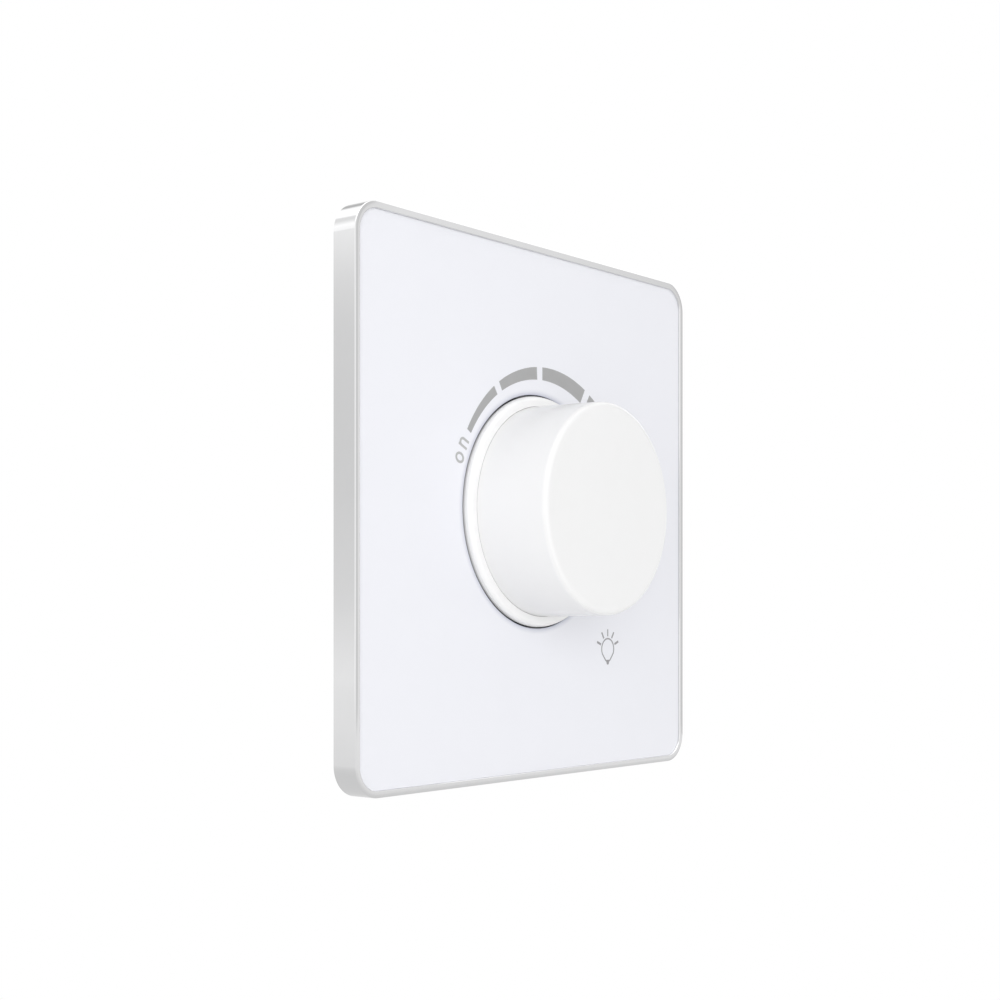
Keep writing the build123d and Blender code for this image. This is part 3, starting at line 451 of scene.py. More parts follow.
def metalFinish(name, toneA, toneB, rough, stretch=(1, 1, 1), lineScale=400, bump=0.1, wearTone=None,
                patchScale=80, lineDepth=0.01 * mm, lineShare=0.5):
    material, tree, shader = startFinish(name)
    tone = patchTones(tree, toneA, toneB, rough, patchScale)
    lines = useGroup(tree, linesGroup, stretch=stretch, lineScale=lineScale)
    base = tone["Color"]
    if wearTone:
        base = mixColour(tree, useGroup(tree, wearGroup)["Mask"], base, colour(*wearTone))
    tree.links.new(base, shader.inputs["Base Color"])
    spread = mathNode(tree, "MULTIPLY", lines["Lines"], lineShare * (rough[1] - rough[0]))
    tree.links.new(mathNode(tree, "ADD", tone["Roughness"], spread), shader.inputs["Roughness"])
    shader.inputs["Metallic"].default_value = 1
    addBump(tree, shader, lines["Height"], bump, lineDepth)
    return material


def glassFinish(name, toneA, toneB, rough, patchScale=200, clear=0.9, refraction=1.5):
    material, tree, shader = startFinish(name)
    tone = patchTones(tree, toneA, toneB, rough, patchScale)
    tree.links.new(tone["Color"], shader.inputs["Base Color"])
    tree.links.new(tone["Roughness"], shader.inputs["Roughness"])
    shader.inputs["Transmission Weight"].default_value = clear
    shader.inputs["IOR"].default_value = refraction
    return material


# by the record's material slots; the panel's own finish is added beside the panel
finishes = {
    "silver_plate": metalFinish("silverPlate", (0.73, 0.73, 0.735), (0.715, 0.715, 0.72), (0.06, 0.08),
                                stretch=(0.2, 6, 0.2), lineScale=300, bump=0.01),
    "carrier_plastic": plasticFinish("trayPlastic", grey(0.83), grey(0.79), (0.42, 0.52), bump=0.2),
    "white_plastic": whiteMoulding("knobPlastic", 0.9),
    "spring_steel": metalFinish("springSteel", (0.52, 0.52, 0.54), (0.42, 0.42, 0.45), (0.25, 0.36),
                                stretch=(6, 1, 1), wearTone=(0.7, 0.7, 0.72)),
    "zinc_steel": metalFinish("zincSteel", (0.68, 0.69, 0.71), (0.58, 0.6, 0.63), (0.28, 0.42),
                              stretch=(0.4, 1, 5), lineScale=260, bump=0.15, patchScale=140,
                              wearTone=(0.8, 0.8, 0.82)),
    "housing_plastic": plasticFinish("housingPlastic", (0.82, 0.82, 0.81), (0.77, 0.77, 0.755), (0.46, 0.58),
                                     grainScale=2200, peelShare=0.15, bump=0.45, bumpDepth=0.03 * mm),
    "brass_parts": metalFinish("brass", (0.8, 0.62, 0.3), (0.68, 0.5, 0.22), (0.22, 0.34),
                               stretch=(1, 4, 1), wearTone=(0.9, 0.75, 0.45)),
    "shaft_aluminium": metalFinish("turnedAluminium", (0.77, 0.78, 0.79), (0.7, 0.71, 0.72), (0.25, 0.35),
                                   stretch=(0.5, 8, 0.5), lineScale=500, bump=0.25),
    "rotor_plastic": plasticFinish("rotorPlastic", (0.04, 0.04, 0.042), grey(0.03), (0.4, 0.5), bump=0.2),
    "brown_board": plasticFinish("phenolicBoard", (0.3, 0.16, 0.07), (0.22, 0.11, 0.05), (0.4, 0.5),
                                 patchScale=200),
    "tinned_parts": metalFinish("tinned", (0.74, 0.74, 0.73), grey(0.62), (0.2, 0.4), patchScale=600,
                                bump=0.2, wearTone=grey(0.85)),
    "green_board": plasticFinish("solderMask", (0.02, 0.2, 0.07), (0.015, 0.14, 0.05), (0.25, 0.35),
                                 patchScale=120, coat=0.3),
    "black_moulding": plasticFinish("epoxyMoulding", (0.02, 0.02, 0.021), grey(0.03), (0.4, 0.55), bump=0.3),
    "grey_rubber": plasticFinish("insulatingSheet", (0.4, 0.42, 0.44), (0.34, 0.36, 0.38), (0.6, 0.7),
                                 bump=0.3),
    "core_powder": plasticFinish("coreCoating", (0.72, 0.62, 0.12), (0.62, 0.52, 0.08), (0.35, 0.5),
                                 bump=0.4),
    "copper_wire": metalFinish("enamelledCopper", (0.62, 0.24, 0.1), (0.5, 0.17, 0.06), (0.18, 0.28),
                               patchScale=300),
    "capacitor_yellow": plasticFinish("yellowCase", (0.8, 0.58, 0.05), (0.72, 0.5, 0.04), (0.35, 0.45),
                                      bump=0.15),
    "capacitor_red": plasticFinish("redCase", (0.42, 0.05, 0.03), (0.34, 0.04, 0.025), (0.3, 0.42),
                                   bump=0.15),
    "resistor_body": plasticFinish("resistorLacquer", (0.62, 0.48, 0.28), (0.55, 0.42, 0.24), (0.3, 0.4)),
    "diac_glass": plasticFinish("beadLacquer", (0.03, 0.07, 0.3), (0.02, 0.05, 0.22), (0.15, 0.25),
                                coat=0.5),
    "fuse_glass": glassFinish("fuseGlass", (0.93, 0.96, 0.95), (0.9021, 0.9312, 0.9215), (0.02, 0.06)),
    "block_plastic": plasticFinish("blockPlastic", (0.06, 0.06, 0.065), (0.045, 0.045, 0.05), (0.45, 0.55),
                                   bump=0.25),
}
print("finishes ready:", len(finishes))


# Silver frame

frameLow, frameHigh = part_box("frame_bezel")
panelLow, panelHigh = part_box("glass_panel")
toolOver = 1 * mm  # how far a cutting tool stands past what it cuts
frameSettings = {
    "corner": 4.8 * mm,
    "wall": 1.04 * mm,
    "creaseRound": 0.1 * mm,
    "creaseSteps": 5,
    "lipTilt": 11,
    "lipFlat": 0.6 * mm,
    "lipSteps": 6,
    "innerBreak": 0.14 * mm,
    "breakSteps": 4,
    "bead": 0.35 * mm,
    "beadFront": -0.9 * mm,
    "beadBack": -0.4 * mm,
    "backBreak": 0.12 * mm,
    "notchWidth": 9.0 * mm,
    "notchDepth": 0.9 * mm,
    "support": 0.03 * mm,
    "cornerSteps": 20,
}


def makeFrame(s):
    front = frameLow.y
    half = frameHigh.x
    profile = [(s["backBreak"], 0), (0, -s["backBreak"])]
    # a sharp crease, then a slightly crowned lip that ends flat beside the panel
    tilt = math.radians(s["lipTilt"])
    lipStart = 270 - s["lipTilt"]
    crease = s["creaseRound"]
    lipRadius = (s["lipFlat"] - crease * (1 - math.sin(tilt))) / math.sin(tilt)
    creaseDepth = front + (lipRadius - crease) * (1 - math.cos(tilt)) + crease
    profile += [(0, creaseDepth + s["support"])]
    profile += arcPoints((crease, creaseDepth), crease, 180, lipStart, s["creaseSteps"])
    profile += arcPoints((s["lipFlat"], front + lipRadius), lipRadius, lipStart, 270, s["lipSteps"])[1:]
    inner = s["innerBreak"]
    profile += [(s["wall"] - inner - s["support"], front)]
    profile += arcPoints((s["wall"] - inner, front + inner), inner, 270, 360, s["breakSteps"])
    profile += [
        (s["wall"], s["beadFront"] - s["bead"]),
        (s["wall"] + s["bead"], s["beadFront"]),
        (s["wall"] + s["bead"], s["beadBack"]),
        (s["wall"], s["beadBack"]),
        (s["wall"], 0),
    ]
    piece = sweepSquare("silverFrame", profile, half, s["corner"], s["cornerSteps"])
    w, low, high = s["notchWidth"] / 2, -half - toolOver, -half + 2 * s["wall"]
    notch = prism("notchTool", [(-w, low), (w, low), (w, high), (-w, high)], -s["notchDepth"], toolOver)
    combine(piece, [notch], "DIFFERENCE")
    smoothShade(piece)
    return piece


silverFrame = makeFrame(frameSettings)
dress(silverFrame, "base", "silver_plate", finishes["silver_plate"], "frame_bezel")
print("silver frame done")


# White panel with its hole

panelSettings = {
    "corner": 3.74 * mm,
    "cornerSteps": 20,
    "seam": 0.004 * mm,
    "edgeBreak": 0.03 * mm,
    "edgeSteps": 3,
    "holeRadius": 18.85 * mm,
    "holeBreak": 0.15 * mm,
    "breakSteps": 6,
    "holeSegments": 160,
    "sharpFrom": 5,
    "toneA": (0.872, 0.878, 0.925),
    "toneB": (0.862, 0.868, 0.915),
    "patchScale": 18,
    "roughness": 0.25,
    # painted shade round the hole: bluish darkening towards its edge, like a soft contact shadow
    "tint": (0.42, 0.44, 0.55),
    "paintedHoleShadeWidth": 1.1 * mm,
    "paintedHoleShadePower": 1.9,
    "paintedHoleShadeShare": 0.85,
    "rippleScale": 120,
    "rippleLeast": 0.85,
    # painted shade: the hole's cut wall near black, standing in for the shaded gap round the ring
    "paintedCutShade": (0.012, 0.014, 0.018),
    "cutFrom": -3.98 * mm,
    "cutFade": 0.05 * mm,
    "grainScale": 400,
    "peelShare": 0.8,
    "bump": 0.01,
    "bumpDepth": 0.02 * mm,
    "coat": 0.4,
    "coatRough": 0.06,
}


def panelFinish(name, s):
    # white-backed glass with painted shade: the colour darkens towards the hole like a contact shadow, and
    # the cut wall of the hole is painted near black where the gap lies in shade
    material, tree, shader = startFinish(name)
    tone = useGroup(tree, toneGroup, toneA=colour(*s["toneA"]), toneB=colour(*s["toneB"]),
                    patchScale=s["patchScale"])
    place = objectPlace(tree)
    split = splitVector(tree, place)
    across = mathNode(tree, "POWER", split["X"], 2)
    upright = mathNode(tree, "POWER", split["Z"], 2)
    radius = mathNode(tree, "SQRT", mathNode(tree, "ADD", across, upright))
    # painted shade, deepest at the hole's edge
    near = rangeNode(tree, radius, s["holeRadius"], s["holeRadius"] + s["paintedHoleShadeWidth"], 1.0, 0.0)
    near = mathNode(tree, "POWER", near, s["paintedHoleShadePower"])
    ripple = rangeNode(tree, noiseNode(tree, place, s["rippleScale"]), *noiseSpan, s["rippleLeast"], 1.0)
    near = mathNode(tree, "MULTIPLY", mathNode(tree, "MULTIPLY", near, ripple), s["paintedHoleShadeShare"])
    holeShaded = mixColour(tree, near, tone["Color"], colour(*s["tint"]))
    # painted shade: the cut wall below the front face goes near black
    isCut = rangeNode(tree, split["Y"], s["cutFrom"], s["cutFrom"] + s["cutFade"])
    tree.links.new(mixColour(tree, isCut, holeShaded, colour(*s["paintedCutShade"])), shader.inputs["Base Color"])
    shader.inputs["Roughness"].default_value = s["roughness"]
    skin = useGroup(tree, mouldGroup, grainScale=s["grainScale"], peelShare=s["peelShare"])
    addBump(tree, shader, skin["Height"], s["bump"], s["bumpDepth"])
    shader.inputs["Coat Weight"].default_value = s["coat"]
    shader.inputs["Coat Roughness"].default_value = s["coatRough"]
    return material


def fillBetween(bm, one, two):
    edges = []
    for loop in (one, two):
        for i in range(len(loop)):
            edge = bm.edges.get((loop[i - 1], loop[i])) or bm.edges.new((loop[i - 1], loop[i]))
            edges.append(edge)
    bmesh.ops.triangle_fill(bm, use_beauty=True, use_dissolve=False, edges=edges)


def makePanel(s):
    half = frameHigh.x - frameSettings["wall"] - s["seam"]
    front, back = panelLow.y, panelHigh.y
    edge = s["edgeBreak"]
    outside = [(0, back)] + arcPoints((edge, front + edge), edge, 180, 270, s["edgeSteps"])
    rings = []
    for inset, depth in outside:
        rings.append((roundedSquare(half - inset, s["corner"] - inset, s["cornerSteps"]), depth))
    radius, holeBreak = s["holeRadius"], s["holeBreak"]
    inside = arcPoints((radius + holeBreak, front + holeBreak), holeBreak, 270, 180, s["breakSteps"])
    turns = [math.radians(i * 360 / s["holeSegments"]) for i in range(s["holeSegments"])]
    for r, depth in inside + [(radius, back)]:
        rings.append(([(r * math.cos(a), r * math.sin(a)) for a in turns], depth))
    bm = bmesh.new()
    loops = [[bm.verts.new((x, depth, z)) for x, z in points] for points, depth in rings]
    for one, two in zip(loops, loops[1:]):
        if len(one) == len(two):
            for i in range(len(one)):
                bm.faces.new((one[i - 1], one[i], two[i], two[i - 1]))
        else:
            fillBetween(bm, one, two)  # the front face
    fillBetween(bm, loops[-1], loops[0])
    piece = fromBmesh("whitePanel", bm)
    tidyMesh(piece)
    smoothShade(piece, s["sharpFrom"])  # the front stays flat up to its edges
    return piece


whitePanel = makePanel(panelSettings)
finishes["white_glass"] = panelFinish("whitePanel", panelSettings)
dress(whitePanel, "base", "white_glass", finishes["white_glass"], "glass_panel")
print("white panel done")


# Convex ring round the knob

ringLow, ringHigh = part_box("collar_ring")
ringSettings = {
    "outerRadius": 18.62 * mm,
    "boreRadius": 16.98 * mm,
    "boreTop": 16.955 * mm,
    "boreBreak": 0.02 * mm,
    "topFlat": 0.85 * mm,
    "crownSteps": 20,
    "wallRise": 0.28 * mm,
    "footStep": 0.05 * mm,
    "tabCount": 4,
    "firstTab": 45,
    "tabWall": 0.8 * mm,
    "tabAngle": 16,
    "tabSteps": 8,
    "tabSink": 0.2 * mm,
    "barb": 0.35 * mm,
    "barbRoot": 0.4 * mm,
    "barbFront": -0.7 * mm,
    "barbShorter": 0.002 * mm,
    "barbNarrower": 0.01,
    "segments": 160,
    "tone": 0.935,
    # painted shade: the ring's foot a little darker, and near black below the panel face where the gap lies
    # in shade
    "dust": [(-4.7 * mm, -4.25 * mm, 0.12), (-3.95 * mm, -3.7 * mm, 0.97)],
}


def makeRing(s):
    top = ringLow.y
    back = panelHigh.y
    flatEnd = s["boreRadius"] + s["topFlat"]
    foot = panelLow.y - s["wallRise"]
    crownFoot = s["outerRadius"] - s["footStep"]
    reach = (crownFoot - flatEnd, foot - top)
    profile = [(s["boreRadius"], back)]
    profile += [(s["boreTop"], top + s["boreBreak"]), (s["boreTop"] + s["boreBreak"], top)]
    profile += arcPoints((flatEnd, foot), reach, 270, 360, s["crownSteps"])
    profile += [(s["outerRadius"], foot + s["footStep"] / 2), (s["outerRadius"], back)]
    piece = lathe("convexRing", profile, s["segments"])
    tabs = []
    tabOuter = (s["outerRadius"] + s["boreRadius"] + s["tabWall"]) / 2
    barbInner, barbOuter = tabOuter - s["barbRoot"], tabOuter + s["barb"]
    for i in range(s["tabCount"]):
        middle = s["firstTab"] + i * 360 / s["tabCount"]
        wall = ringSector(tabOuter - s["tabWall"], tabOuter, middle, s["tabAngle"], s["tabSteps"])
        tabs.append(prism("tabTool", wall, back - s["tabSink"], ringHigh.y))
        barb = ringSector(barbInner, barbOuter, middle, s["tabAngle"] - s["barbNarrower"], s["tabSteps"])
        tabs.append(prism("barbTool", barb, s["barbFront"], ringHigh.y - s["barbShorter"]))
    combine(piece, tabs, "UNION")
    smoothShade(piece)
    return piece


convexRing = makeRing(ringSettings)
# the ring's plastic, with painted shade at its foot
ringPlastic = paintedShadeMoulding("ringPlastic", ringSettings["tone"], ringSettings["dust"])
dress(convexRing, "base", "white_plastic", ringPlastic, "collar_ring")
print("convex ring done")


# Knob, hollow, with its hub and ribs

knobLow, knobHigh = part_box("knob")
knobSettings = {
    "frontRadius": 16.75 * mm,
    "rimRound": 0.9 * mm,
    "rimSteps": 9,
    "sideSteps": 6,
    "support": 0.2 * mm,
    "rimLineAt": 38,
    "rimLineAngle": 8,
    "rimLineSlope": 2,
    "rimLine": 0.03 * mm,
    "wall": 1.7 * mm,
    "top": 2.0 * mm,
    "skirtBreak": 0.2 * mm,
    "skirtSteps": 4,
    "innerRound": 0.5 * mm,
    "hubRadius": 5.4 * mm,
    "hubEnd": -5.8 * mm,
    "boreRadius": 3.05 * mm,
    "boreFlat": -2.0 * mm,
    "ribCount": 6,
    "ribWall": 1.0 * mm,
    "ribDrop": 6.5 * mm,
    "ribSink": 0.3 * mm,
    "ribReach": 0.4 * mm,
    "segments": 160,
    "tone": 0.9,
    # painted shade: the knob's side darker below the ring's top, inside the shaded gap
    "dust": [(-5.26 * mm, -5.2 * mm, 0.5)],
}


def makeKnob(s):
    face, skirt = knobLow.y, knobHigh.y
    front, base = s["frontRadius"], knobHigh.x
    inside = face + s["top"]
    rim = s["rimRound"]

    def boreReach(radius, angle):
        # the bore has a flat at its lower side
        down = math.cos(angle)
        if radius <= s["boreRadius"] + tiny and down < s["boreFlat"] / s["boreRadius"]:
            return s["boreFlat"] / down
        return radius

    rimCentre = (front - rim, face + rim)
    profile = [(0, face), (rimCentre[0] - s["support"], face)]
    lineStart = 360 - s["rimLineAt"]
    lineEnd = lineStart + s["rimLineAngle"]
    slope = s["rimLineSlope"]
    profile += arcPoints(rimCentre, rim, 270, lineStart, s["rimSteps"])
    profile += arcPoints(rimCentre, rim - s["rimLine"], lineStart + slope, lineEnd - slope, 2)
    profile += arcPoints(rimCentre, rim, lineEnd, 360, s["sideSteps"])
    taper = (base - front) / (skirt - face)
    profile += [(front + s["support"] * taper, rimCentre[1] + s["support"])]
    skirtCentre = (base - s["skirtBreak"], skirt - s["skirtBreak"])
    profile += arcPoints(skirtCentre, s["skirtBreak"], 0, 90, s["skirtSteps"])
    profile += [(base - s["wall"], skirt), (front - s["wall"], inside + s["innerRound"])]
    profile += [(front - s["wall"] - s["innerRound"], inside), (s["hubRadius"] + s["innerRound"], inside)]
    profile += [(s["hubRadius"], inside + s["innerRound"]), (s["hubRadius"], s["hubEnd"])]
    profile += [(s["boreRadius"], s["hubEnd"]), (s["boreRadius"], inside), (0, inside)]
    piece = lathe("knobShell", profile, s["segments"], closed=False, reach=boreReach)
    ribs = []
    w = s["ribWall"] / 2
    low, high = s["hubRadius"] - s["ribSink"], front - s["wall"] + s["ribReach"]
    for i in range(s["ribCount"]):
        middle = (i + 0.5) * 360 / s["ribCount"]
        outline = turnAbout([(-w, low), (w, low), (w, high), (-w, high)], middle)
        ribs.append(prism("ribTool", outline, inside - s["ribSink"], inside + s["ribDrop"]))
    combine(piece, ribs, "UNION")
    smoothShade(piece)
    return piece


knobShell = makeKnob(knobSettings)
# the knob's plastic, with painted shade on its side inside the gap
knobPlastic = paintedShadeMoulding("knobOuterPlastic", knobSettings["tone"], knobSettings["dust"])
dress(knobShell, "rotor", "white_plastic", knobPlastic, "knob")
print("knob done")


# Printed marks on the panel: the scale, the word and the lamp sign

printSettings = {
    "thickness": 0.02 * mm,
    "shift": 1.27 * mm,
    "scaleInner": 21.48 * mm,
    "startWidth": 1.05 * mm,
    "endWidth": 3.15 * mm,
    "halfAngle": 58,
    "gapAngles": (-31.2, -2.0, 30.8),
    "gap": 1.38 * mm,
    "scaleSteps": 16,
    "scaleTone": (0.4, 0.4, 0.402),
    "wordRadius": 22.18 * mm,
    "letterHeight": 2.07 * mm,
    "letterStroke": 0.4 * mm,
    "letterAngles": (-70.4, -63.9),
    "roundShare": 0.42,
    "archShare": 0.37,
    "archStart": 170,
    "roundSteps": 32,
    "archSteps": 16,
    "wordTone": (0.47, 0.47, 0.472),
    "lampX": 19.68 * mm,
    "bulbZ": -22.55 * mm,
    "bulbRadius": 1.91 * mm,
    "bulbOpening": (205, -25),
    "bulbSteps": 24,
    "bulbNeck": 0.6 * mm,
    "bulbEnd": -24.5 * mm,
    "bulbTip": 0.36 * mm,
    "tipAngles": (5, -185),
    "tipSteps": 10,
    "lampEnd": -25.22 * mm,
    "rays": ((-68, 0.38 * mm), (-32, 0.32 * mm), (0, 0.27 * mm), (32, 0.32 * mm), (68, 0.38 * mm)),
    "rayFrom": 2.18 * mm,
    "rayTo": 3.38 * mm,
    "lampLine": 0.25 * mm,
    "lampTone": (0.33, 0.325, 0.335),
}
printBack = panelLow.y
printFront = printBack - printSettings["thickness"]


def printFinish(name, tone, patchTone=0.95, rough=(0.3, 0.36)):
    other = tuple(patchTone * c for c in tone)
    return plasticFinish(name, tone, other, rough, patchScale=300, grainScale=2000, bump=0.03)


def makeScale(s):
    inner, half = s["scaleInner"], s["halfAngle"]
    halfGap = math.degrees(math.asin(s["gap"] / inner)) / 2
    starts = [-half] + [angle + halfGap for angle in s["gapAngles"]]
    ends = [angle - halfGap for angle in s["gapAngles"]] + [half]
    parts = []
    for start, end in zip(starts, ends):
        outside = []
        inside = []
        for k in range(s["scaleSteps"] + 1):
            angle = start + (end - start) * k / s["scaleSteps"]
            share = (angle + half) / (2 * half)
            radius = inner + s["startWidth"] + share * (s["endWidth"] - s["startWidth"])
            a = math.radians(angle)
            outside.append((s["shift"] + radius * math.sin(a), radius * math.cos(a)))
            inside.append((s["shift"] + inner * math.sin(a), inner * math.cos(a)))
        parts.append(prism("segment", outside + inside[::-1], printFront, printBack))
    return joinPieces("scaleMarks", parts)


def ribbon(name, path, width, closed=False):
    # a flat line of even width along (x, z) points
    n = len(path)
    left = []
    right = []
    for i in range(n):
        before = path[i - 1] if (closed or i) else path[i]
        after = path[(i + 1) % n] if (closed or i < n - 1) else path[i]
        dx, dz = after[0] - before[0], after[1] - before[1]
        size = math.hypot(dx, dz)
        nx, nz = -dz / size * width / 2, dx / size * width / 2
        left.append((path[i][0] + nx, path[i][1] + nz))
        right.append((path[i][0] - nx, path[i][1] - nz))
    if not closed:
        return prism(name, left + right[::-1], printFront, printBack)
    verts = []
    for depth in (printFront, printBack):
        verts += [(x, depth, z) for x, z in left] + [(x, depth, z) for x, z in right]
    faces = []
    for i in range(n):
        j = (i + 1) % n
        for one, two in ((0, n), (2 * n, 3 * n), (0, 2 * n), (n, 3 * n)):  # front, back, left and right
            faces.append([one + i, one + j, two + j, two + i])
    return newPiece(name, verts, faces)


def makeWord(s):
    h, w = s["letterHeight"], s["letterStroke"]
    arch = s["archShare"] * h
    side = arch - w / 2
    letterO = arcPoints((0, 0), (s["roundShare"] * h - w / 2, h / 2 - w / 2), 0, 360, s["roundSteps"])[:-1]
    stem = [(-side, -h / 2), (-side, h / 2)]
    hump = arcPoints((0, h / 2 - arch), side, s["archStart"], 0, s["archSteps"]) + [(side, -h / 2)]
    angleO, angleN = s["letterAngles"]
    strokes = []
    for path, angle in ((letterO, angleO), (stem, angleN), (hump, angleN)):
        placed = turnAbout([(x, z + s["wordRadius"]) for x, z in path], angle)
        placed = [(x + s["shift"], z) for x, z in placed]
        strokes.append(ribbon("stroke", placed, w, closed=path is letterO))
    combine(strokes[1], strokes[2:], "UNION")
    return joinPieces("onWord", strokes[:2])


def makeLamp(s):
    cx, bulbZ, w = s["lampX"], s["bulbZ"], s["lampLine"]
    neckLeft, neckRight = (cx - s["bulbNeck"], s["bulbEnd"]), (cx + s["bulbNeck"], s["bulbEnd"])
    rounded = arcPoints((cx, bulbZ), s["bulbRadius"] - w / 2, *s["bulbOpening"], s["bulbSteps"])
    bulb = ribbon("bulb", [neckLeft] + rounded + [neckRight], w, closed=True)
    tip = s["bulbTip"]
    base = [neckLeft, neckRight] + arcPoints((cx, s["lampEnd"] + tip), tip, *s["tipAngles"], s["tipSteps"])
    combine(bulb, [prism("lampBase", base, printFront, printBack)], "UNION")
    parts = [bulb]
    for angle, rayWidth in s["rays"]:
        ray = turnAbout([(0, s["rayFrom"]), (0, s["rayTo"])], angle)
        parts.append(ribbon("ray", [(cx + x, bulbZ + z) for x, z in ray], rayWidth))
    return joinPieces("lampSign", parts)


printPieces = [
    (makeScale(printSettings), printFinish("scalePrint", printSettings["scaleTone"])),
    (makeWord(printSettings), printFinish("wordPrint", printSettings["wordTone"])),
    (makeLamp(printSettings), printFinish("lampPrint", printSettings["lampTone"])),
]
for piece, finish in printPieces:
    dress(piece, "base", "white_glass", finish)
print("printed marks done")


# Finishes of the solids

slotOf = {row["node"]: row["material_slot"] for row in frame["record"]["subparts"]}
for nodeName, node in frame["nodes"].items():
    node.data.materials.clear()
    node.data.materials.append(finishes[slotOf[nodeName]])
print("finishes set on", len(frame["nodes"]), "nodes")


# Stage, light and camera

stageSettings = {
    "wallSize": 4.0,
    "floorSize": 3.0,
    "floorHeight": -0.16,
    "floorTone": 0.92,
    "floorPatch": 0.98,
    "floorRough": (0.6, 0.7),
    # painted shade in the floor's glow: darker near the object, lighter further off
    "floorShadeReach": (0.3, 1.4),
    "floorShadeLevels": (0.8, 1.02),
    "ambient": 0.725,
    "behindLevels": [(-0.2, 0.8), (-0.12, 1.02), (-0.06, 1.08), (0.0, 0.9), (0.07, 0.84), (0.13, 0.83),
                     (0.19, 0.865), (0.22, 0.95), (0.28, 1.3), (0.45, 1.4), (0.52, 1.2), (0.6, 1.0),
                     (0.66, 1.0), (0.7, 1.5)],
    "behindSides": [(0.1, 1.0), (0.4, 0.55), (0.65, 0.55), (0.8, 1.5)],
    "frontLevels": [(-0.3, 0.8), (-0.12, 0.87), (-0.05, 1.0), (0.5, 1.0), (0.66, 2.2)],
    "frontSides": [(-0.2, 1.3), (0.2, 1.25), (0.4, 1.0), (0.5, 0.85), (0.6, 0.76), (0.66, 0.78),
                   (0.69, 0.9), (0.72, 1.02), (0.78, 0.98), (0.83, 0.87), (0.92, 0.68), (1.0, 0.66)],
    "sideBlend": 0.15,
    "keyPower": 3.65,
    "keySize": 0.8,
    "keyDistance": 0.8,
    "keyTurn": 44,
    "keyRise": 0,
}
cameraSettings = {
    "place": (-0.2133, -0.1674, -0.0161),
    "turn": 51.26,
    "sensor": 36,
    "lens": 59.68,
    "shiftUp": 0.1114,
    "shiftAside": -0.00042,
    "nearest": 0.01,
}


def plane(name, corners):
    mesh = bpy.data.meshes.new(name)
    mesh.from_pydata(corners, [], [list(range(len(corners)))])
    piece = addObject(name, mesh)
    return piece


def mixShaders(tree, factor, one, two, surface):
    mix = tree.nodes.new("ShaderNodeMixShader")
    for socket, source in zip(mix.inputs, (factor, one, two)):
        tree.links.new(source, socket)
    tree.links.new(mix.outputs["Shader"], surface)


def makeWall(s):
    # white card at the wall plane, seen from the front only; it takes no part in the light
    r = s["wallSize"] / 2
    wall = plane("wallCard", [(-r, 0, -r), (r, 0, -r), (r, 0, r), (-r, 0, r)])
    for kind in ("diffuse", "glossy", "transmission", "volume_scatter", "shadow"):
        setattr(wall, "visible_" + kind, False)
    material = bpy.data.materials.new("wallCard")
    material.use_nodes = True
    tree = material.node_tree
    tree.nodes.clear()
    glow = tree.nodes.new("ShaderNodeEmission").outputs["Emission"]
    clear = tree.nodes.new("ShaderNodeBsdfTransparent").outputs["BSDF"]
    isBack = tree.nodes.new("ShaderNodeNewGeometry").outputs["Backfacing"]
    out = tree.nodes.new("ShaderNodeOutputMaterial")
    mixShaders(tree, isBack, glow, clear, out.inputs["Surface"])
    wall.data.materials.append(material)


def makeFloor(s):
    r = s["floorSize"] / 2
    z = s["floorHeight"]
    floor = plane("paleFloor", [(-r, -r, z), (r, -r, z), (r, r, z), (-r, r, z)])
    tone = s["floorTone"]
    material = plasticFinish("paleFloor", grey(tone), grey(s["floorPatch"] * tone), s["floorRough"],
                             patchScale=4, grainScale=60, bump=0.02)
    tree = material.node_tree
    glow = tree.nodes.new("ShaderNodeEmission")  # metal shows the pale background in place of the floor
    # painted shade: the glow darkens towards the object, as a shadow under it seen in the metal
    length = tree.nodes.new("ShaderNodeVectorMath")
    length.operation = "LENGTH"
    tree.links.new(objectPlace(tree), length.inputs[0])
    level = rangeNode(tree, length.outputs["Value"], *s["floorShadeReach"], *s["floorShadeLevels"])
    tree.links.new(level, glow.inputs["Strength"])
    isGlossy = tree.nodes.new("ShaderNodeLightPath").outputs["Is Glossy Ray"]
    plain = tree.nodes["Principled BSDF"].outputs["BSDF"]
    surface = tree.nodes["Material Output"].inputs["Surface"]
    mixShaders(tree, isGlossy, plain, glow.outputs["Emission"], surface)
    floor.data.materials.append(material)


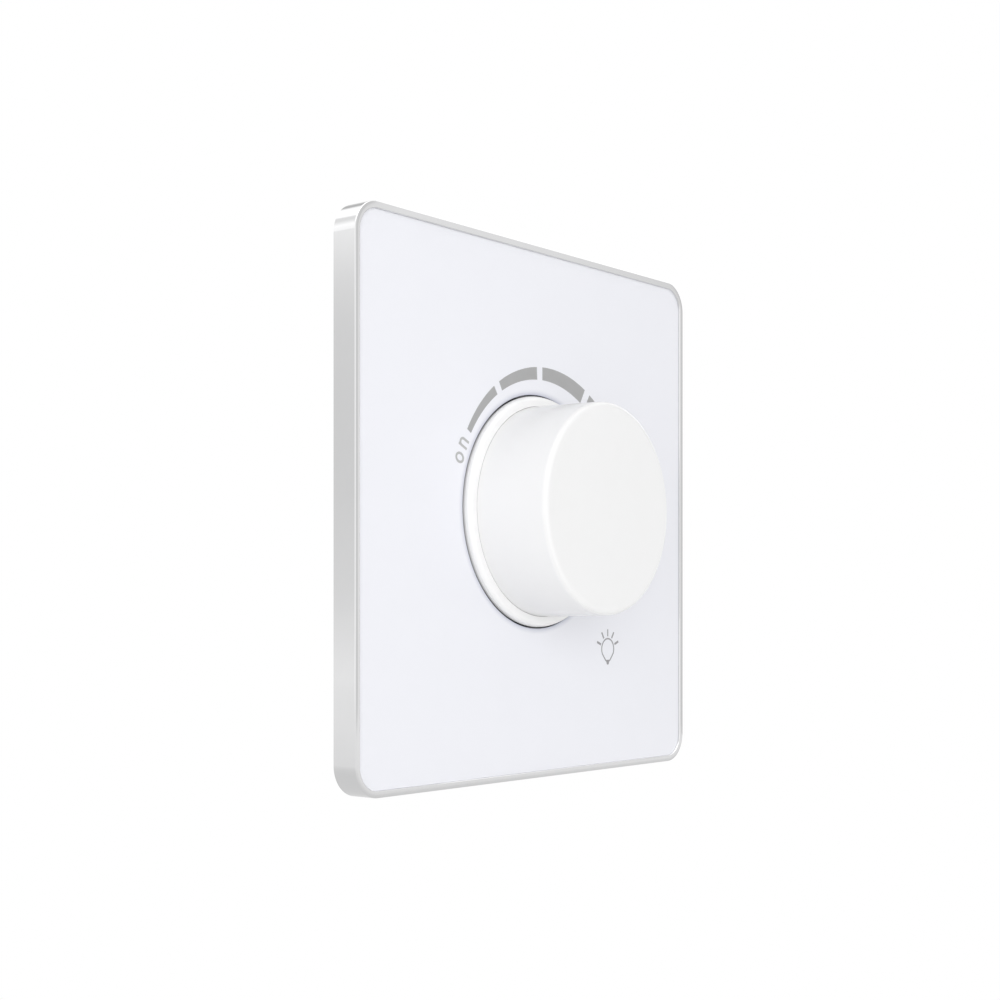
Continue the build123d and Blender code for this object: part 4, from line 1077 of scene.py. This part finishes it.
def makeWorld(s):
    # gloss and metal see studio walls of uneven brightness, and everything else sees even white
    world = bpy.data.worlds.new("studio")
    bpy.context.scene.world = world
    world.use_nodes = True
    tree = world.node_tree
    tree.nodes.clear()
    path = tree.nodes.new("ShaderNodeLightPath").outputs
    direction = splitVector(tree, tree.nodes.new("ShaderNodeTexCoord").outputs["Generated"])

    def levels(axis, stops):
        # brightness along one axis of the direction
        curve = tree.nodes.new("ShaderNodeValToRGB")
        tree.links.new(rangeNode(tree, direction[axis], -1.0, 1.0), curve.inputs["Fac"])
        elements = curve.color_ramp.elements
        while len(elements) < len(stops):
            elements.new(1.0)
        for element, (position, level) in zip(elements, stops):
            element.position = (position + 1) / 2
            element.color = colour(level, level, level)
        return curve.outputs["Color"]

    def half(upright, across):
        product = tree.nodes.new("ShaderNodeVectorMath")
        product.operation = "MULTIPLY"
        tree.links.new(levels("Z", upright), product.inputs[0])
        tree.links.new(levels("X", across), product.inputs[1])
        return product.outputs[0]

    isBehind = rangeNode(tree, direction["Y"], -s["sideBlend"], s["sideBlend"])
    inFront = half(s["frontLevels"], s["frontSides"])
    studio = mixColour(tree, isBehind, inFront, half(s["behindLevels"], s["behindSides"]))
    seen = tree.nodes.new("ShaderNodeBackground")
    tree.links.new(mixColour(tree, path["Is Glossy Ray"], colour(1, 1, 1), studio), seen.inputs["Color"])
    ambient = tree.nodes.new("ShaderNodeBackground")
    ambient.inputs["Color"].default_value = colour(1, 1, 1)
    ambient.inputs["Strength"].default_value = s["ambient"]
    direct = mathNode(tree, "MAXIMUM", path["Is Camera Ray"], path["Is Glossy Ray"])
    direct = mathNode(tree, "MAXIMUM", direct, path["Is Transmission Ray"])
    out = tree.nodes.new("ShaderNodeOutputWorld")
    mixShaders(tree, direct, ambient.outputs["Background"], seen.outputs["Background"], out.inputs["Surface"])


def makeKeyLight(s):
    light = bpy.data.lights.new("keyLight", "AREA")
    light.shape = "SQUARE"
    light.size = s["keySize"]
    light.energy = s["keyPower"]
    lamp = addObject("keyLight", light)
    turn, rise = math.radians(s["keyTurn"]), math.radians(s["keyRise"])
    back = Vector((-math.sin(turn) * math.cos(rise), -math.cos(turn) * math.cos(rise), math.sin(rise)))
    lamp.visible_glossy = False  # metal and gloss show the studio walls instead
    lamp.location = back * s["keyDistance"]
    lamp.rotation_euler = back.to_track_quat("Z", "Y").to_euler()


def makeCamera(s):
    data = bpy.data.cameras.new("camera")
    data.sensor_width = s["sensor"]
    data.lens = s["lens"]
    data.shift_x = s["shiftAside"]
    data.shift_y = s["shiftUp"]
    data.clip_start = s["nearest"]
    camera = addObject("camera", data)
    camera.location = s["place"]
    camera.rotation_euler = (math.radians(90), 0, -math.radians(s["turn"]))
    bpy.context.scene.camera = camera


makeWall(stageSettings)
makeFloor(stageSettings)
makeWorld(stageSettings)
makeKeyLight(stageSettings)
makeCamera(cameraSettings)
bpy.context.scene.view_settings.view_transform = "Standard"
print("stage, light and camera ready")
